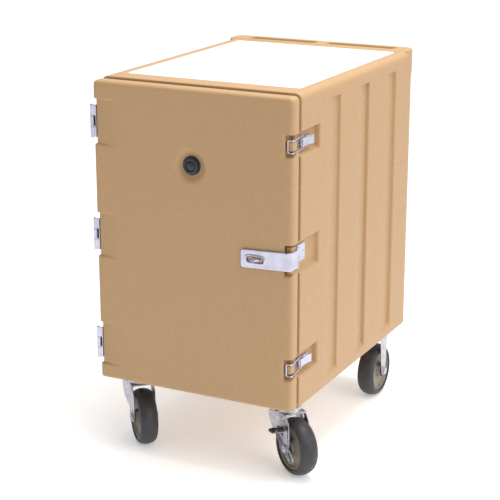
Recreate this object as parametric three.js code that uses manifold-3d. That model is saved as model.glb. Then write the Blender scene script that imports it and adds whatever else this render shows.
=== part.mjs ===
// Insulated food carrier: a foam-filled, double-walled polyethylene cabinet on four casters, with one
// hinged front door, two toggle latches, a padlock hasp, a vent cap and a board let into its top.
// Millimetres, +Z up, +Y towards the back, +X to the right when facing the door.
// The origin is on the floor, under the middle of the cabinet.

import * as THREE from "three";
import { mergeVertices } from "three/addons/utils/BufferGeometryUtils.js";
import Module from "manifold-3d";

const wasm = await Module();
wasm.setup();

// ---- Driving dimensions -------------------------------------------------------------------------

const GAP = 0.3; // clearance between pieces that touch
const SKIN = 4; // wall thickness of the moulded polyethylene

const HALF_WIDTH = 280;
const CLEARANCE = 200; // floor to the underside of the cabinet
const CABINET_TOP = 1004;
const CABINET_FRONT = -347;
const CABINET_BACK = 393;
const CABINET_CORNER = 17; // radius of the long edges
const CABINET_BACK_EDGE = 14;
const CABINET_FRONT_EDGE = 5;

const CAVITY = { halfWidth: 236, bottom: 262, top: 944, back: 347, corner: 20 };
const LEDGE = { pairs: 8, first: 330, pitch: 76, reach: 14, thick: 8, front: -320, back: 340 };

const DOOR_FRONT = -391;
const DOOR_BACK = -349;
const DOOR_BOTTOM = 202;
const DOOR_TOP = 1000;
const DOOR_CORNER = 14;
const DOOR_PILLOW = 12; // radius of the door's front edge
const DOOR_PLUG = { halfWidth: 222, bottom: 276, top: 930, depth: 12, corner: 18 };
const GASKET = { halfWidth: 252, bottom: 246, top: 960, width: 10, groove: 5, proud: 1.6 };

const BOARD = { halfWidth: 244, front: -280, back: 343, depth: 6, thick: 5.2, corner: 8 };
const RAIL = { front: 350, back: 415, top: 1009, bottom: 934, halfWidth: 278 };
const GRIP = { inner: 14, outer: 230, front: 366, back: 402, floor: 967 };

const RIB = { first: -184, pitch: 189, width: 74, ramp: 55, depth: 8, bottom: 228, top: 964 };

const HARDWARE_Z = 597; // height of the hasp, the middle of the hardware
const LATCH_OFFSET = 284; // the latches sit this far above and below the hasp
const HINGE_OFFSET = 297; // and the outer hinges this far from the middle one

const HINGE = { x: -285.5, y: -386.5, r: 4.5, pin: 2.4, height: 84, knuckle: 28 };
const HINGE_NOTCH = { x: -272.5, half: 58.5, relief: 6.5, fade: 60 };
const HINGE_LEAF = { back: -298, thick: 2, half: 34 };

const POCKET = { back: -235, floor: 264, half: 30.5, hasp: 40.5 };
const DOOR_POCKET = { floor: 257, step: 266.5, wall: -358 };
const KEEPER = { inner: 260, outer: 275, front: -382, half: 12, hasp: 34 };

const LATCH = { x: 270.5, y: -326, pin: 1.7, ear: 2.7, throwX: -0.2, throwY: 12 };
const BAIL = { wire: 1.9, half: 15.5, hookX: 263, hookY: -384.4, cornerX: 277.5 };
const LEVER = { half: 10.5, plate: 3, thick: 1.8, front: 1, nose: 3.2, back: 34, tab: 54, tabOut: 10 };

const HASP = { x: 274.3, y: -352, r: 4, pin: 2.2, low: 572, high: 626, leafLow: 582 };
const STRAP = { front: -396, thick: 2, bend: 10, end: 142, half: 23.5, droop: 5 };
const STAPLE = { x: 181, z: 592, half: 13, wire: 2.6, out: -409 };

const VENT = { z: 807, dish: 43, seat: 29, depth: 9, bore: 13, cap: 21 };
const PORT = { r: 12, head: 16 }; // hole that the foam is poured through, closed by a plug

const CASTER = { x: 224, front: -283, rear: 297, trail: 40 };
const WHEEL = { r: 76, half: 25, core: 58, hub: 20, bore: 8 };
const WHEEL_SIDES = 20; // flats round a wheel; one of them is level on the floor
const LEG = { inner: 28, outer: 31, crown: 160, eye: 14 };
const PLATE = { halfX: 50, halfY: 42, thick: 5, top: CLEARANCE - GAP };
const FRONT_LEFT_TURN = -46;
const FRONT_RIGHT_TURN = -34;

// ---- Materials ----------------------------------------------------------------------------------

const paint = (color, roughness, metalness = 0) =>
  new THREE.MeshStandardMaterial({ color, roughness, metalness });
const TAN = paint(0xc9a277, 0.6);
const FOAM = paint(0xe6d9a8, 0.95);
const WHITE = paint(0xf6f6f4, 0.45);
const STEEL = paint(0xc9c8cc, 0.3, 0.95);
const ZINC = paint(0xb6b8be, 0.4, 0.9);
const BLACK = paint(0x232325, 0.5);
const RUBBER = paint(0x3c3c3f, 0.7);
const TREAD = paint(0x47464a, 0.6);
const CORE = paint(0x837a6b, 0.5);

// ---- Solids -------------------------------------------------------------------------------------

// A closed geometry as a solid that can be joined and cut.
function solid(geometry) {
  const bare = geometry.clone();
  bare.deleteAttribute("normal");
  bare.deleteAttribute("uv");
  const merged = mergeVertices(bare, 1e-3);
  return new wasm.Manifold(
    new wasm.Mesh({
      numProp: 3,
      vertProperties: merged.attributes.position.array,
      triVerts: new Uint32Array(merged.index.array),
    }),
  );
}

function geometryOf(made) {
  const { vertProperties, triVerts } = made.getMesh();
  const geometry = new THREE.BufferGeometry();
  geometry.setAttribute("position", new THREE.BufferAttribute(vertProperties, 3));
  geometry.setIndex(new THREE.BufferAttribute(triVerts, 1));
  return geometry;
}

const join = (...solids) => solids.flat().reduce((all, next) => all.add(next));
const cut = (from, ...tools) => tools.flat().reduce((rest, tool) => rest.subtract(tool), from);

function box([x0, x1], [y0, y1], [z0, z1]) {
  const block = new THREE.BoxGeometry(x1 - x0, y1 - y0, z1 - z0);
  return solid(block.translate((x0 + x1) / 2, (y0 + y1) / 2, (z0 + z1) / 2));
}

// A rod along "x", "y" or "z" from one end to the other, through the point given in the other two.
function rod(axis, r, [from, to], [a, b], sides = 12) {
  const round = new THREE.CylinderGeometry(r, r, to - from, sides);
  const middle = (from + to) / 2;
  if (axis === "x") round.rotateZ(-Math.PI / 2).translate(middle, a, b);
  if (axis === "y") round.translate(a, middle, b);
  if (axis === "z") round.rotateX(Math.PI / 2).translate(a, b, middle);
  return solid(round);
}

function outline(points) {
  return new THREE.Shape(points.map(([a, b]) => new THREE.Vector2(a, b)));
}

function roundedRect([a0, a1], [b0, b1], r) {
  const shape = new THREE.Shape();
  shape.absarc(a1 - r, b0 + r, r, -Math.PI / 2, 0);
  shape.absarc(a1 - r, b1 - r, r, 0, Math.PI / 2);
  shape.absarc(a0 + r, b1 - r, r, Math.PI / 2, Math.PI);
  shape.absarc(a0 + r, b0 + r, r, Math.PI, 1.5 * Math.PI);
  shape.closePath();
  return shape;
}

// A bar with round ends between two points, as an outline.
function capsule([a0, b0], [a1, b1], r0, r1) {
  const along = Math.atan2(b1 - b0, a1 - a0);
  const shape = new THREE.Shape();
  shape.absarc(a0, b0, r0, along + Math.PI / 2, along + 1.5 * Math.PI);
  shape.absarc(a1, b1, r1, along - Math.PI / 2, along + Math.PI / 2);
  shape.closePath();
  return shape;
}

function extrusion(shape, length, bevel, curveSegments) {
  const geometry = new THREE.ExtrudeGeometry(shape, {
    depth: length - 2 * bevel,
    bevelEnabled: bevel > 0,
    bevelThickness: bevel,
    bevelSize: bevel,
    bevelOffset: -bevel,
    bevelSegments: 2,
    curveSegments,
  });
  return geometry.translate(0, 0, bevel);
}

// An outline in X and Z, extruded along Y; in Y and Z, along X; and in X and Y, along Z.
function alongY(shape, [y0, y1], bevel = 0, curveSegments = 2) {
  const geometry = extrusion(shape, y1 - y0, bevel, curveSegments);
  return solid(geometry.rotateX(Math.PI / 2).translate(0, y1, 0));
}

function alongX(shape, [x0, x1], bevel = 0, curveSegments = 2) {
  const turn = new THREE.Matrix4().makeBasis(
    new THREE.Vector3(0, 1, 0),
    new THREE.Vector3(0, 0, 1),
    new THREE.Vector3(1, 0, 0),
  );
  return solid(extrusion(shape, x1 - x0, bevel, curveSegments).applyMatrix4(turn).translate(x0, 0, 0));
}

function alongZ(shape, [z0, z1], bevel = 0, curveSegments = 2) {
  return solid(extrusion(shape, z1 - z0, bevel, curveSegments).translate(0, 0, z0));
}

// A profile of [radius, y] points, lowest y first, turned about a line along Y through (x, z).
function lathe(profile, [x, z], sides) {
  const points = profile.map(([r, y]) => new THREE.Vector2(r, y));
  const geometry = new THREE.LatheGeometry(points, sides);
  return solid(geometry.rotateY(Math.PI / sides).translate(x, 0, z));
}

// A bent wire: straight lengths between the points, each running a little past its corners.
function wire(points, r, sides) {
  const lengths = [];
  for (let i = 1; i < points.length; i += 1) {
    const [from, to] = [points[i - 1].clone(), points[i].clone()];
    const past = to.clone().sub(from).setLength(r * 0.6);
    if (i > 1) from.sub(past);
    if (i < points.length - 1) to.add(past);
    const along = to.clone().sub(from);
    const length = along.length();
    const turn = new THREE.Quaternion();
    turn.setFromUnitVectors(new THREE.Vector3(0, 1, 0), along.normalize());
    const middle = from.add(to).multiplyScalar(0.5);
    const bar = new THREE.CylinderGeometry(r, r, length, sides).applyQuaternion(turn);
    lengths.push(solid(bar.translate(...middle.toArray())));
  }
  return join(lengths);
}

const carrier = new THREE.Group();
carrier.name = "insulated_food_carrier";

function add(name, made, material, parent = carrier) {
  const mesh = new THREE.Mesh(geometryOf(made), material);
  mesh.name = name;
  parent.add(mesh);
}

// ---- Rivets -------------------------------------------------------------------------------------

// Rivets through a leaf that lies on a wall facing along X (out is +1 or -1). Their heads stand on
// the leaf and a backing plate behind the skin joins them. grow makes the hole they go through.
function rivets({ leaf, wall, out, centre: [y, z], spread: [dy, dz], rows }, grow = 0) {
  const span = (a, b) => [Math.min(a, b), Math.max(a, b)];
  const inside = wall - out * (SKIN + GAP);
  const heads = [];
  for (const side of rows) {
    const at = [y + side[0] * dy, z + side[1] * dz];
    heads.push(rod("x", 4 + grow, span(leaf + out * (GAP - grow), leaf + out * (1.9 + grow)), at, 8));
    heads.push(rod("x", 2 + grow, span(inside - out, leaf + out), at, 6));
  }
  const plate = box(
    span(inside + out * grow, inside - out * (2 + grow)),
    [y - dy - 6 - grow, y + dy + 6 + grow],
    [z - dz - 6 - grow, z + dz + 6 + grow],
  );
  return join(heads, plate);
}

const FOUR_CORNERS = [[-1, -1], [-1, 1], [1, -1], [1, 1]];
const hingeRivets = (z) => ({
  leaf: -HALF_WIDTH - HINGE_LEAF.thick - GAP,
  wall: -HALF_WIDTH,
  out: -1,
  centre: [-318, z],
  spread: [11, 22],
  rows: FOUR_CORNERS,
});
const latchRivets = (z) => ({
  leaf: POCKET.floor + GAP + 2,
  wall: POCKET.floor,
  out: 1,
  centre: [-288, z],
  spread: [16, 4.6],
  rows: FOUR_CORNERS,
});
const haspRivets = {
  leaf: POCKET.floor + GAP + 6,
  wall: POCKET.floor + 4,
  out: 1,
  centre: [-319, (HASP.leafLow + HASP.high) / 2],
  spread: [12, 12],
  rows: [[-1, -1], [-1, 1], [1, 0]],
};

const hingeHeights = [HARDWARE_Z + HINGE_OFFSET, HARDWARE_Z, HARDWARE_Z - HINGE_OFFSET];
const latchHeights = [HARDWARE_Z + LATCH_OFFSET, HARDWARE_Z - LATCH_OFFSET];
const bodyRivets = [...hingeHeights.map(hingeRivets), ...latchHeights.map(latchRivets), haspRivets];

// ---- Cabinet ------------------------------------------------------------------------------------

// Every function with an inset gives the same shape, that much smaller for a solid and that much
// larger for a hollow, so the skin, the foam and the space between them follow one another.

function cabinetBlock(inset) {
  const face = roundedRect(
    [-HALF_WIDTH + inset, HALF_WIDTH - inset],
    [CLEARANCE + inset, CABINET_TOP - inset],
    CABINET_CORNER - inset,
  );
  const back = CABINET_BACK - inset;
  const front = CABINET_FRONT + inset;
  const roundBack = alongY(face, [front - 40, back], CABINET_BACK_EDGE - inset);
  const roundFront = alongY(face, [front, back + 40], CABINET_FRONT_EDGE - inset);
  return join(roundBack.intersect(roundFront), gripRail(inset));
}

// The raised rail across the back of the top, which hangs over the rear wall.
function gripRail(inset) {
  const { front, back, top, bottom, halfWidth } = RAIL;
  const profile = outline([
    [front, bottom + 8 + inset],
    [CABINET_BACK - inset, bottom + inset],
    [back - inset, bottom + 50],
    [back - inset, top - 10],
    [back - 4 - inset, top - 3 - inset],
    [back - 12, top - inset],
    [front + 12, top - inset],
    [front + inset, top - 8],
  ]);
  const plan = roundedRect(
    [-halfWidth + inset, halfWidth - inset],
    [front - 60, back - inset],
    30 - inset,
  );
  const rail = alongX(profile, [-halfWidth, halfWidth]);
  return rail.intersect(alongZ(plan, [bottom - 1, top + 1]));
}

function cavity(inset) {
  const face = roundedRect(
    [-CAVITY.halfWidth - inset, CAVITY.halfWidth + inset],
    [CAVITY.bottom - inset, CAVITY.top + inset],
    CAVITY.corner + inset,
  );
  const deep = alongY(face, [CABINET_FRONT - 60, CAVITY.back + inset], 12);
  return deep;
}

// The moulded ledges that sheet pans slide on, in pairs down both sides of the cavity.
function panLedges() {
  const { pairs, first, pitch, reach, thick, front, back } = LEDGE;
  const inner = CAVITY.halfWidth - reach;
  const outer = CAVITY.halfWidth + SKIN / 2;
  const ledges = [];
  for (let i = 0; i < pairs; i += 1) {
    const z = first + i * pitch;
    for (const side of [-1, 1]) {
      const section = outline([[side * outer, z - thick], [side * inner, z - thick / 2],
        [side * inner, z], [side * outer, z]]);
      ledges.push(alongY(section, [front, back]));
    }
  }
  return ledges;
}

// Upright flutes in the side walls, each a gentle ramp that ends at a steeper wall behind it.
function flutes(inset) {
  const cuts = [];
  for (const side of [-1, 1]) {
    for (let i = 0; i < 3; i += 1) {
      const front = RIB.first + i * RIB.pitch - inset;
      const back = front + RIB.width + 2 * inset;
      const x = (depth) => side * (HALF_WIDTH - depth);
      const section = outline([
        [x(-1), front],
        [x(inset), front],
        [x(RIB.depth + inset), front + RIB.ramp],
        [x(RIB.depth + inset), front + RIB.ramp + 4],
        [x(inset), back],
        [x(-1), back],
      ]);
      const slope = outline([
        [x(-1), RIB.bottom - inset - 1],
        [x(RIB.depth + inset), RIB.bottom + 10 - inset],
        [x(RIB.depth + inset), RIB.top + inset],
        [x(-1), RIB.top + inset],
      ]);
      const column = alongZ(section, [RIB.bottom - 20, RIB.top + 20]);
      cuts.push(column.intersect(alongY(slope, [front - 5, back + 5])));
    }
  }
  return cuts;
}

// Recesses for the two latches and the hasp, in the front of the right wall.
function hardwarePockets(inset) {
  const back = POCKET.back + inset;
  const front = CABINET_FRONT - 30;
  const out = HALF_WIDTH + 1;
  const pocket = (z, half, floor) =>
    box([floor - inset, out], [front, back], [z - half - inset, z + half + inset]);
  return [
    ...latchHeights.map((z) => pocket(z, POCKET.half, POCKET.floor)),
    pocket(HARDWARE_Z, POCKET.hasp, POCKET.floor + 4),
  ];
}

function topRecess(inset) {
  const plan = roundedRect(
    [-BOARD.halfWidth - GAP - inset, BOARD.halfWidth + GAP + inset],
    [BOARD.front - GAP - inset, BOARD.back + GAP + inset],
    BOARD.corner + inset,
  );
  return alongZ(plan, [CABINET_TOP - BOARD.depth - inset, CABINET_TOP + 30]);
}

function gripPockets(inset) {
  const pocket = ([x0, x1]) => {
    const plan = roundedRect([x0 - inset, x1 + inset], [GRIP.front - inset, GRIP.back + inset], 12 + inset);
    return alongZ(plan, [GRIP.floor - inset, RAIL.top + 10]);
  };
  return [pocket([GRIP.inner, GRIP.outer]), pocket([-GRIP.outer, -GRIP.inner])];
}

function cabinetHollow(inset) {
  return cut(
    cabinetBlock(inset),
    cavity(inset),
    flutes(inset),
    hardwarePockets(inset),
    topRecess(inset),
    gripPockets(inset),
  );
}

function buildCabinet() {
  const port = rod("z", PORT.r + GAP, [CLEARANCE - 1, CLEARANCE + SKIN + 1], [0, 0], 16);
  const holes = bodyRivets.map((set) => rivets(set, GAP));
  const block = cut(
    cabinetBlock(0),
    cut(cavity(0), panLedges()),
    flutes(0),
    hardwarePockets(0),
    topRecess(0),
    gripPockets(0),
  );
  add("cabinet_shell", cut(block, cabinetHollow(SKIN), port, holes), TAN);
  add("cabinet_foam", cut(cabinetHollow(SKIN + GAP), holes), FOAM);
  add("cabinet_foam_plug", foamPlug("z", CLEARANCE, 1, [0, 0]), TAN);
  const plan = roundedRect(
    [-BOARD.halfWidth, BOARD.halfWidth],
    [BOARD.front, BOARD.back],
    BOARD.corner - GAP,
  );
  const floor = CABINET_TOP - BOARD.depth + GAP;
  add("work_surface", alongZ(plan, [floor, floor + BOARD.thick]), WHITE);
}

// A plug pressed into a foam port: its head lies on the skin and its shank fills the hole.
function foamPlug(axis, face, inward, at) {
  const span = (a, b) => [Math.min(a, b), Math.max(a, b)];
  const outside = face - inward * GAP;
  const head = rod(axis, PORT.head, span(outside - inward * 2, outside), at, 16);
  const shank = rod(axis, PORT.r, span(outside - inward, face + inward * (SKIN - 1)), at, 16);
  return join(head, shank);
}

// ---- Door ---------------------------------------------------------------------------------------

function doorBlock(inset) {
  const face = roundedRect(
    [-HALF_WIDTH + inset, HALF_WIDTH - inset],
    [DOOR_BOTTOM + inset, DOOR_TOP - inset],
    DOOR_CORNER - inset,
  );
  const front = DOOR_FRONT + inset;
  const back = DOOR_BACK - inset;
  const pillow = alongY(face, [front, back + 60], DOOR_PILLOW - inset);
  const slab = alongY(face, [front - 60, back], inset ? 0 : 3);
  const plugFace = roundedRect(
    [-DOOR_PLUG.halfWidth + inset, DOOR_PLUG.halfWidth - inset],
    [DOOR_PLUG.bottom + inset, DOOR_PLUG.top - inset],
    DOOR_PLUG.corner - inset,
  );
  const plug = alongY(plugFace, [front + 20, DOOR_BACK + DOOR_PLUG.depth - inset], inset ? 0 : 4);
  return join(pillow.intersect(slab), plug);
}

// The space that one hinge needs: a notch in the door's edge and a relief that fades out to the right.
function hingeNotch(z, inset) {
  const x = HINGE_NOTCH.x + inset;
  const section = outline([
    [-HALF_WIDTH - 10, DOOR_FRONT - 10],
    [x + HINGE_NOTCH.fade + inset, DOOR_FRONT - 10],
    [x + HINGE_NOTCH.fade + inset, DOOR_FRONT - 0.01 + inset],
    [x, DOOR_FRONT + HINGE_NOTCH.relief + inset],
    [x, DOOR_BACK + 10],
    [-HALF_WIDTH - 10, DOOR_BACK + 10],
  ]);
  return alongZ(section, [z - HINGE_NOTCH.half - inset, z + HINGE_NOTCH.half + inset]);
}

// A pocket in the door's right edge with a keeper lug standing in it, for a bail to hook over.
function keeperPocket(z, half, lug, inset) {
  const out = HALF_WIDTH + 1;
  const high = [z - half - inset, z + half + inset];
  const front = box([DOOR_POCKET.floor - inset, out], [DOOR_FRONT - 1, DOOR_POCKET.wall + inset], high);
  const through = box([DOOR_POCKET.step - inset, out], [DOOR_FRONT - 1, DOOR_BACK + 1], high);
  const keeper = box(
    [KEEPER.inner + inset, KEEPER.outer - inset],
    [KEEPER.front + inset, DOOR_BACK],
    [z - lug + inset, z + lug - inset],
  );
  const post = box(
    [KEEPER.inner + inset, DOOR_POCKET.step + 1 - inset],
    [DOOR_POCKET.wall - 2, DOOR_BACK],
    [z - lug + inset, z + lug - inset],
  );
  const solidKeeper = join(keeper.intersect(front), post);
  return inset ? join(front, through) : cut(join(front, through), solidKeeper.intersect(front));
}

function ventDish(inset) {
  const { dish, seat, depth, bore, z } = VENT;
  const floor = DOOR_FRONT + depth + inset;
  return lathe(
    [
      [0, DOOR_FRONT - 1],
      [dish + inset, DOOR_FRONT - 1],
      [dish + inset, DOOR_FRONT],
      [dish - 6 + inset, floor - 3],
      [seat + inset, floor],
      [bore + GAP + inset, floor],
      [bore + GAP + inset, DOOR_BACK + DOOR_PLUG.depth + 1],
      [0, DOOR_BACK + DOOR_PLUG.depth + 1],
    ],
    [0, z],
    20,
  );
}

function gasketRing(grow, [y0, y1]) {
  const { halfWidth, bottom, top, width } = GASKET;
  const ring = (inset, r) =>
    roundedRect([-halfWidth + inset, halfWidth - inset], [bottom + inset, top - inset], r);
  const outer = alongY(ring(-grow, 20 + grow), [y0, y1]);
  return cut(outer, alongY(ring(width + grow, 10 - grow), [y0 - 1, y1 + 1]));
}

function doorCuts(inset) {
  const cuts = [
    ...hingeHeights.map((z) => hingeNotch(z, inset)),
    ...latchHeights.map((z) => keeperPocket(z, POCKET.half - 1.5, KEEPER.half, inset)),
    keeperPocket(HARDWARE_Z, POCKET.hasp - 0.5, KEEPER.hasp, inset),
    ventDish(inset),
    gasketRing(GAP + inset, [DOOR_BACK - GASKET.groove - inset, DOOR_BACK + 1]),
  ];
  return cuts;
}

function buildDoor() {
  const inner = DOOR_BACK + DOOR_PLUG.depth;
  const portAt = [0, 400];
  const port = rod("y", PORT.r + GAP, [inner - SKIN - 1, inner + 1], portAt, 16);
  const holes = hingeHeights.map((z) => doorLeafFixing(z, GAP));
  const staplePosts = staple(GAP);
  const shell = cut(cut(doorBlock(0), doorCuts(0)), cut(doorBlock(SKIN), doorCuts(SKIN)), port);
  add("door_shell", cut(shell, holes, staplePosts), TAN);
  const foam = cut(doorBlock(SKIN + GAP), doorCuts(SKIN + GAP), holes, staplePosts);
  add("door_foam", foam, FOAM);
  add("door_foam_plug", foamPlug("y", inner, -1, portAt), TAN);
  const seal = gasketRing(0, [DOOR_BACK - GASKET.groove + GAP, DOOR_BACK + GASKET.proud]);
  add("door_gasket", seal, RUBBER);
  add("hasp_staple", staple(0), STEEL);
}

// The padlock eye: a level loop of rod on a plate, with two shanks that go into the door.
function staple(grow) {
  const { x, z, half, wire: r, out } = STAPLE;
  const plate = box(
    [x - 22 - grow, x + 22 + grow],
    [DOOR_FRONT - GAP - 2 - grow, DOOR_FRONT - GAP + grow],
    [z - 11 - grow, z + 11 + grow],
  );
  const base = DOOR_FRONT - 1.5;
  const loop = new THREE.Shape();
  loop.absellipse(x, base, half + r, base - out, 0, -Math.PI, true);
  loop.absellipse(x, base, half - r, base - out - 2 * r, -Math.PI, 0, false);
  loop.closePath();
  const eye = alongZ(loop, [z - r, z + r], 0, 5);
  const shanks = [-1, 1].map((side) =>
    rod("y", r + grow, [DOOR_FRONT - 2, DOOR_FRONT + 14 + grow], [x + side * half, z], 10));
  return join(plate, eye, shanks);
}

// ---- Hinges -------------------------------------------------------------------------------------

function knuckle(low, high) {
  return rod("z", HINGE.r, [low, high], [HINGE.x, HINGE.y], 12);
}

const pinHole = (low, high) => rod("z", HINGE.pin + GAP, [low, high], [HINGE.x, HINGE.y], 8);

// What fixes a door leaf in the door's edge: two rivets on a backing plate behind the skin.
function doorLeafFixing(z, grow) {
  const leaf = HINGE_NOTCH.x - GAP;
  const inside = HINGE_NOTCH.x + SKIN + GAP;
  const parts = [-1, 1].map((side) =>
    rod("x", 2 + grow, [leaf - 1, inside + 1], [-366, z + side * 24], 8));
  const plate = box(
    [inside - grow, inside + 2 + grow],
    [-374 - grow, -360 + grow],
    [z - 32 - grow, z + 32 + grow],
  );
  return join(parts, plate);
}

function buildHinge(name, z) {
  const low = z - HINGE.height / 2;
  const high = z + HINGE.height / 2;
  const midLow = z - HINGE.knuckle / 2;
  const midHigh = z + HINGE.knuckle / 2;
  const bore = pinHole(low - 1, high + 1);
  const side = -HALF_WIDTH - GAP;

  const bodyPlate = box(
    [side - HINGE_LEAF.thick, side],
    [HINGE.y + 8, HINGE_LEAF.back],
    [z - HINGE_LEAF.half, z + HINGE_LEAF.half],
  );
  const bodyNeck = box([side - HINGE_LEAF.thick, side], [HINGE.y, HINGE.y + 9], [midLow, midHigh]);
  const bodyLeaf = cut(join(knuckle(midLow, midHigh), bodyNeck, bodyPlate), bore, rivets(hingeRivets(z), GAP));
  add(`${name}_hinge_body_leaf`, bodyLeaf, STEEL);
  add(`${name}_hinge_rivets`, rivets(hingeRivets(z)), STEEL);

  const face = HINGE_NOTCH.x - GAP;
  const doorPlate = box([face - 2, face], [HINGE.y - 1, -352], [low, high]);
  const ends = [[low, midLow - GAP], [midHigh + GAP, high]].map(([from, to]) =>
    join(knuckle(from, to), box([HINGE.x, face - 1], [HINGE.y - 1, HINGE.y + 1], [from, to])));
  const heads = [-1, 1].map((s) => rod("x", 4, [face - 3.4, face - 1], [-366, z + s * 24], 10));
  add(`${name}_hinge_door_leaf`, cut(join(doorPlate, ends, heads, doorLeafFixing(z, 0)), bore), STEEL);

  const pin = rod("z", HINGE.pin, [low - 1.5, high + 1.5], [HINGE.x, HINGE.y], 8);
  const cap = (from) => rod("z", HINGE.pin + 1, [from, from + 1.2], [HINGE.x, HINGE.y], 8);
  add(`${name}_hinge_pin`, join(pin, cap(low - 1.5), cap(high + GAP)), STEEL);
}

// ---- Latches ------------------------------------------------------------------------------------

function buildLatch(name, z) {
  const { x, y, pin, ear, throwX, throwY } = LATCH;
  const floor = POCKET.floor + GAP;
  const holes = rivets(latchRivets(z), GAP);

  const plate = box([floor, floor + 2], [y - 10, -262], [z - 9.5, z + 9.5]);
  const ears = [-1, 1].map((side) => {
    const foot = box([floor, x], [y - ear, y + ear], [-1, 1]);
    const eye = rod("z", ear, [-1, 1], [x, y], 12);
    return join(foot, eye).translate(0, 0, z + side * 7);
  });
  const pivot = rod("z", pin, [z - LEVER.half - 0.8, z + LEVER.half + 0.8], [x, y], 10);
  add(`${name}_latch_base`, cut(join(plate, ears, pivot), holes), STEEL);
  add(`${name}_latch_rivets`, rivets(latchRivets(z)), STEEL);

  const lid = outline([
    [x + LEVER.plate, y + LEVER.front],
    [x + LEVER.plate + LEVER.thick, y + LEVER.front],
    [x + LEVER.plate + LEVER.thick, y + LEVER.back],
    [x + LEVER.tabOut, y + LEVER.tab],
    [x + LEVER.tabOut - LEVER.thick, y + LEVER.tab],
    [x + LEVER.plate, y + LEVER.back],
  ]);
  const flange = outline([
    [x - LEVER.nose, y + 1],
    [x - 2, y - LEVER.nose + 0.4],
    [x + 2, y - LEVER.nose],
    [x + LEVER.plate + 1, y + LEVER.front],
    [x + LEVER.plate + 1, y + LEVER.back - 4],
    [x + throwX, y + throwY + 4],
    [x + throwX - 3, y + throwY + 1],
  ]);
  const cheeks = [-1, 1].map((side) =>
    alongZ(flange, [-1, 1]).translate(0, 0, z + side * (LEVER.half - 1)));
  const bores = [
    rod("z", pin + GAP, [z - 20, z + 20], [x, y], 10),
    rod("z", BAIL.wire + GAP, [z - 20, z + 20], [x + throwX, y + throwY], 10),
  ];
  const lever = join(alongZ(lid, [z - LEVER.half, z + LEVER.half]), cheeks);
  add(`${name}_latch_lever`, cut(lever, bores), STEEL);

  const at = (px, py, pz) => new THREE.Vector3(px, py, z + pz);
  const [bx, by] = [x + throwX, y + throwY];
  const bail = wire(
    [
      at(bx, by, -LEVER.half + 1.6),
      at(bx, by, -BAIL.half),
      at(BAIL.cornerX, BAIL.hookY, -BAIL.half),
      at(BAIL.hookX, BAIL.hookY, -BAIL.half),
      at(BAIL.hookX, BAIL.hookY, BAIL.half),
      at(BAIL.cornerX, BAIL.hookY, BAIL.half),
      at(bx, by, BAIL.half),
      at(bx, by, LEVER.half - 1.6),
    ],
    BAIL.wire,
    8,
  );
  add(`${name}_latch_bail`, bail, STEEL);
}

// ---- Hasp ---------------------------------------------------------------------------------------

function buildHasp() {
  const { x, y, r, pin, low, high, leafLow } = HASP;
  const third = (high - low) / 3;
  const barrel = (from, to) => rod("z", r, [from, to], [x, y], 16);
  const bore = rod("z", pin + GAP, [low - 1, high + 1], [x, y], 12);
  const floor = POCKET.floor + 4 + GAP;

  const leaf = box([floor, floor + 2], [CABINET_FRONT + 2, -297], [leafLow, high]);
  const midLow = low + third;
  const midHigh = high - third;
  const neck = box([floor, floor + 2], [y - r, CABINET_FRONT + 3], [midLow, midHigh]);
  const web = box([floor, x], [y - r, y - r + 2], [midLow, midHigh]);
  const body = cut(join(leaf, neck, web, barrel(midLow, midHigh)), bore, rivets(haspRivets, GAP));
  add("hasp_body_leaf", body, STEEL);
  add("hasp_rivets", rivets(haspRivets), STEEL);

  const inner = x + r - STRAP.thick;
  const bendY = STRAP.front + STRAP.bend;
  const plan = new THREE.Shape();
  plan.moveTo(inner, y);
  plan.lineTo(inner, bendY);
  plan.absarc(inner - STRAP.bend + STRAP.thick, bendY, STRAP.bend - STRAP.thick, 0, -Math.PI / 2, true);
  plan.lineTo(STRAP.end, STRAP.front + STRAP.thick);
  plan.lineTo(STRAP.end, STRAP.front);
  plan.lineTo(inner - STRAP.bend + STRAP.thick, STRAP.front);
  plan.absarc(inner - STRAP.bend + STRAP.thick, bendY, STRAP.bend, -Math.PI / 2, 0, false);
  plan.lineTo(inner + STRAP.thick, y);
  plan.closePath();
  const band = alongZ(plan, [low - 20, high + 20], 0, 3);
  const z = HARDWARE_Z;
  const drop = STRAP.droop;
  const face = new THREE.Shape();
  const left = STRAP.end;
  const right = inner + STRAP.thick + 1;
  face.moveTo(right, z + STRAP.half);
  face.lineTo(left + 8, z + STRAP.half - drop);
  face.absarc(left + 8, z + STRAP.half - drop - 8, 8, Math.PI / 2, Math.PI);
  face.absarc(left + 8, z - STRAP.half - drop + 8, 8, Math.PI, 1.5 * Math.PI);
  face.lineTo(right, z - STRAP.half);
  face.closePath();
  const strip = band.intersect(alongY(face, [STRAP.front - 5, y + r + 1]));
  const ends = [[low, midLow - GAP], [midHigh + GAP, high]].map(([from, to]) => barrel(from, to));
  const clear = rod("z", r + GAP, [midLow - GAP, midHigh + GAP], [x, y], 16);
  const slot = alongY(
    capsule([STAPLE.x - 17, STAPLE.z], [STAPLE.x + 17, STAPLE.z], 7, 7),
    [STRAP.front - 5, STRAP.front + 5],
  );
  add("hasp_strap", cut(join(strip, ends), clear, bore, slot), STEEL);

  const shaft = rod("z", pin, [low - 1.5, high + 1.5], [x, y], 12);
  const cap = (from) => rod("z", pin + 1, [from, from + 1.2], [x, y], 12);
  add("hasp_pin", join(shaft, cap(low - 1.5), cap(high + GAP)), STEEL);
}

// ---- Vent ---------------------------------------------------------------------------------------

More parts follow.
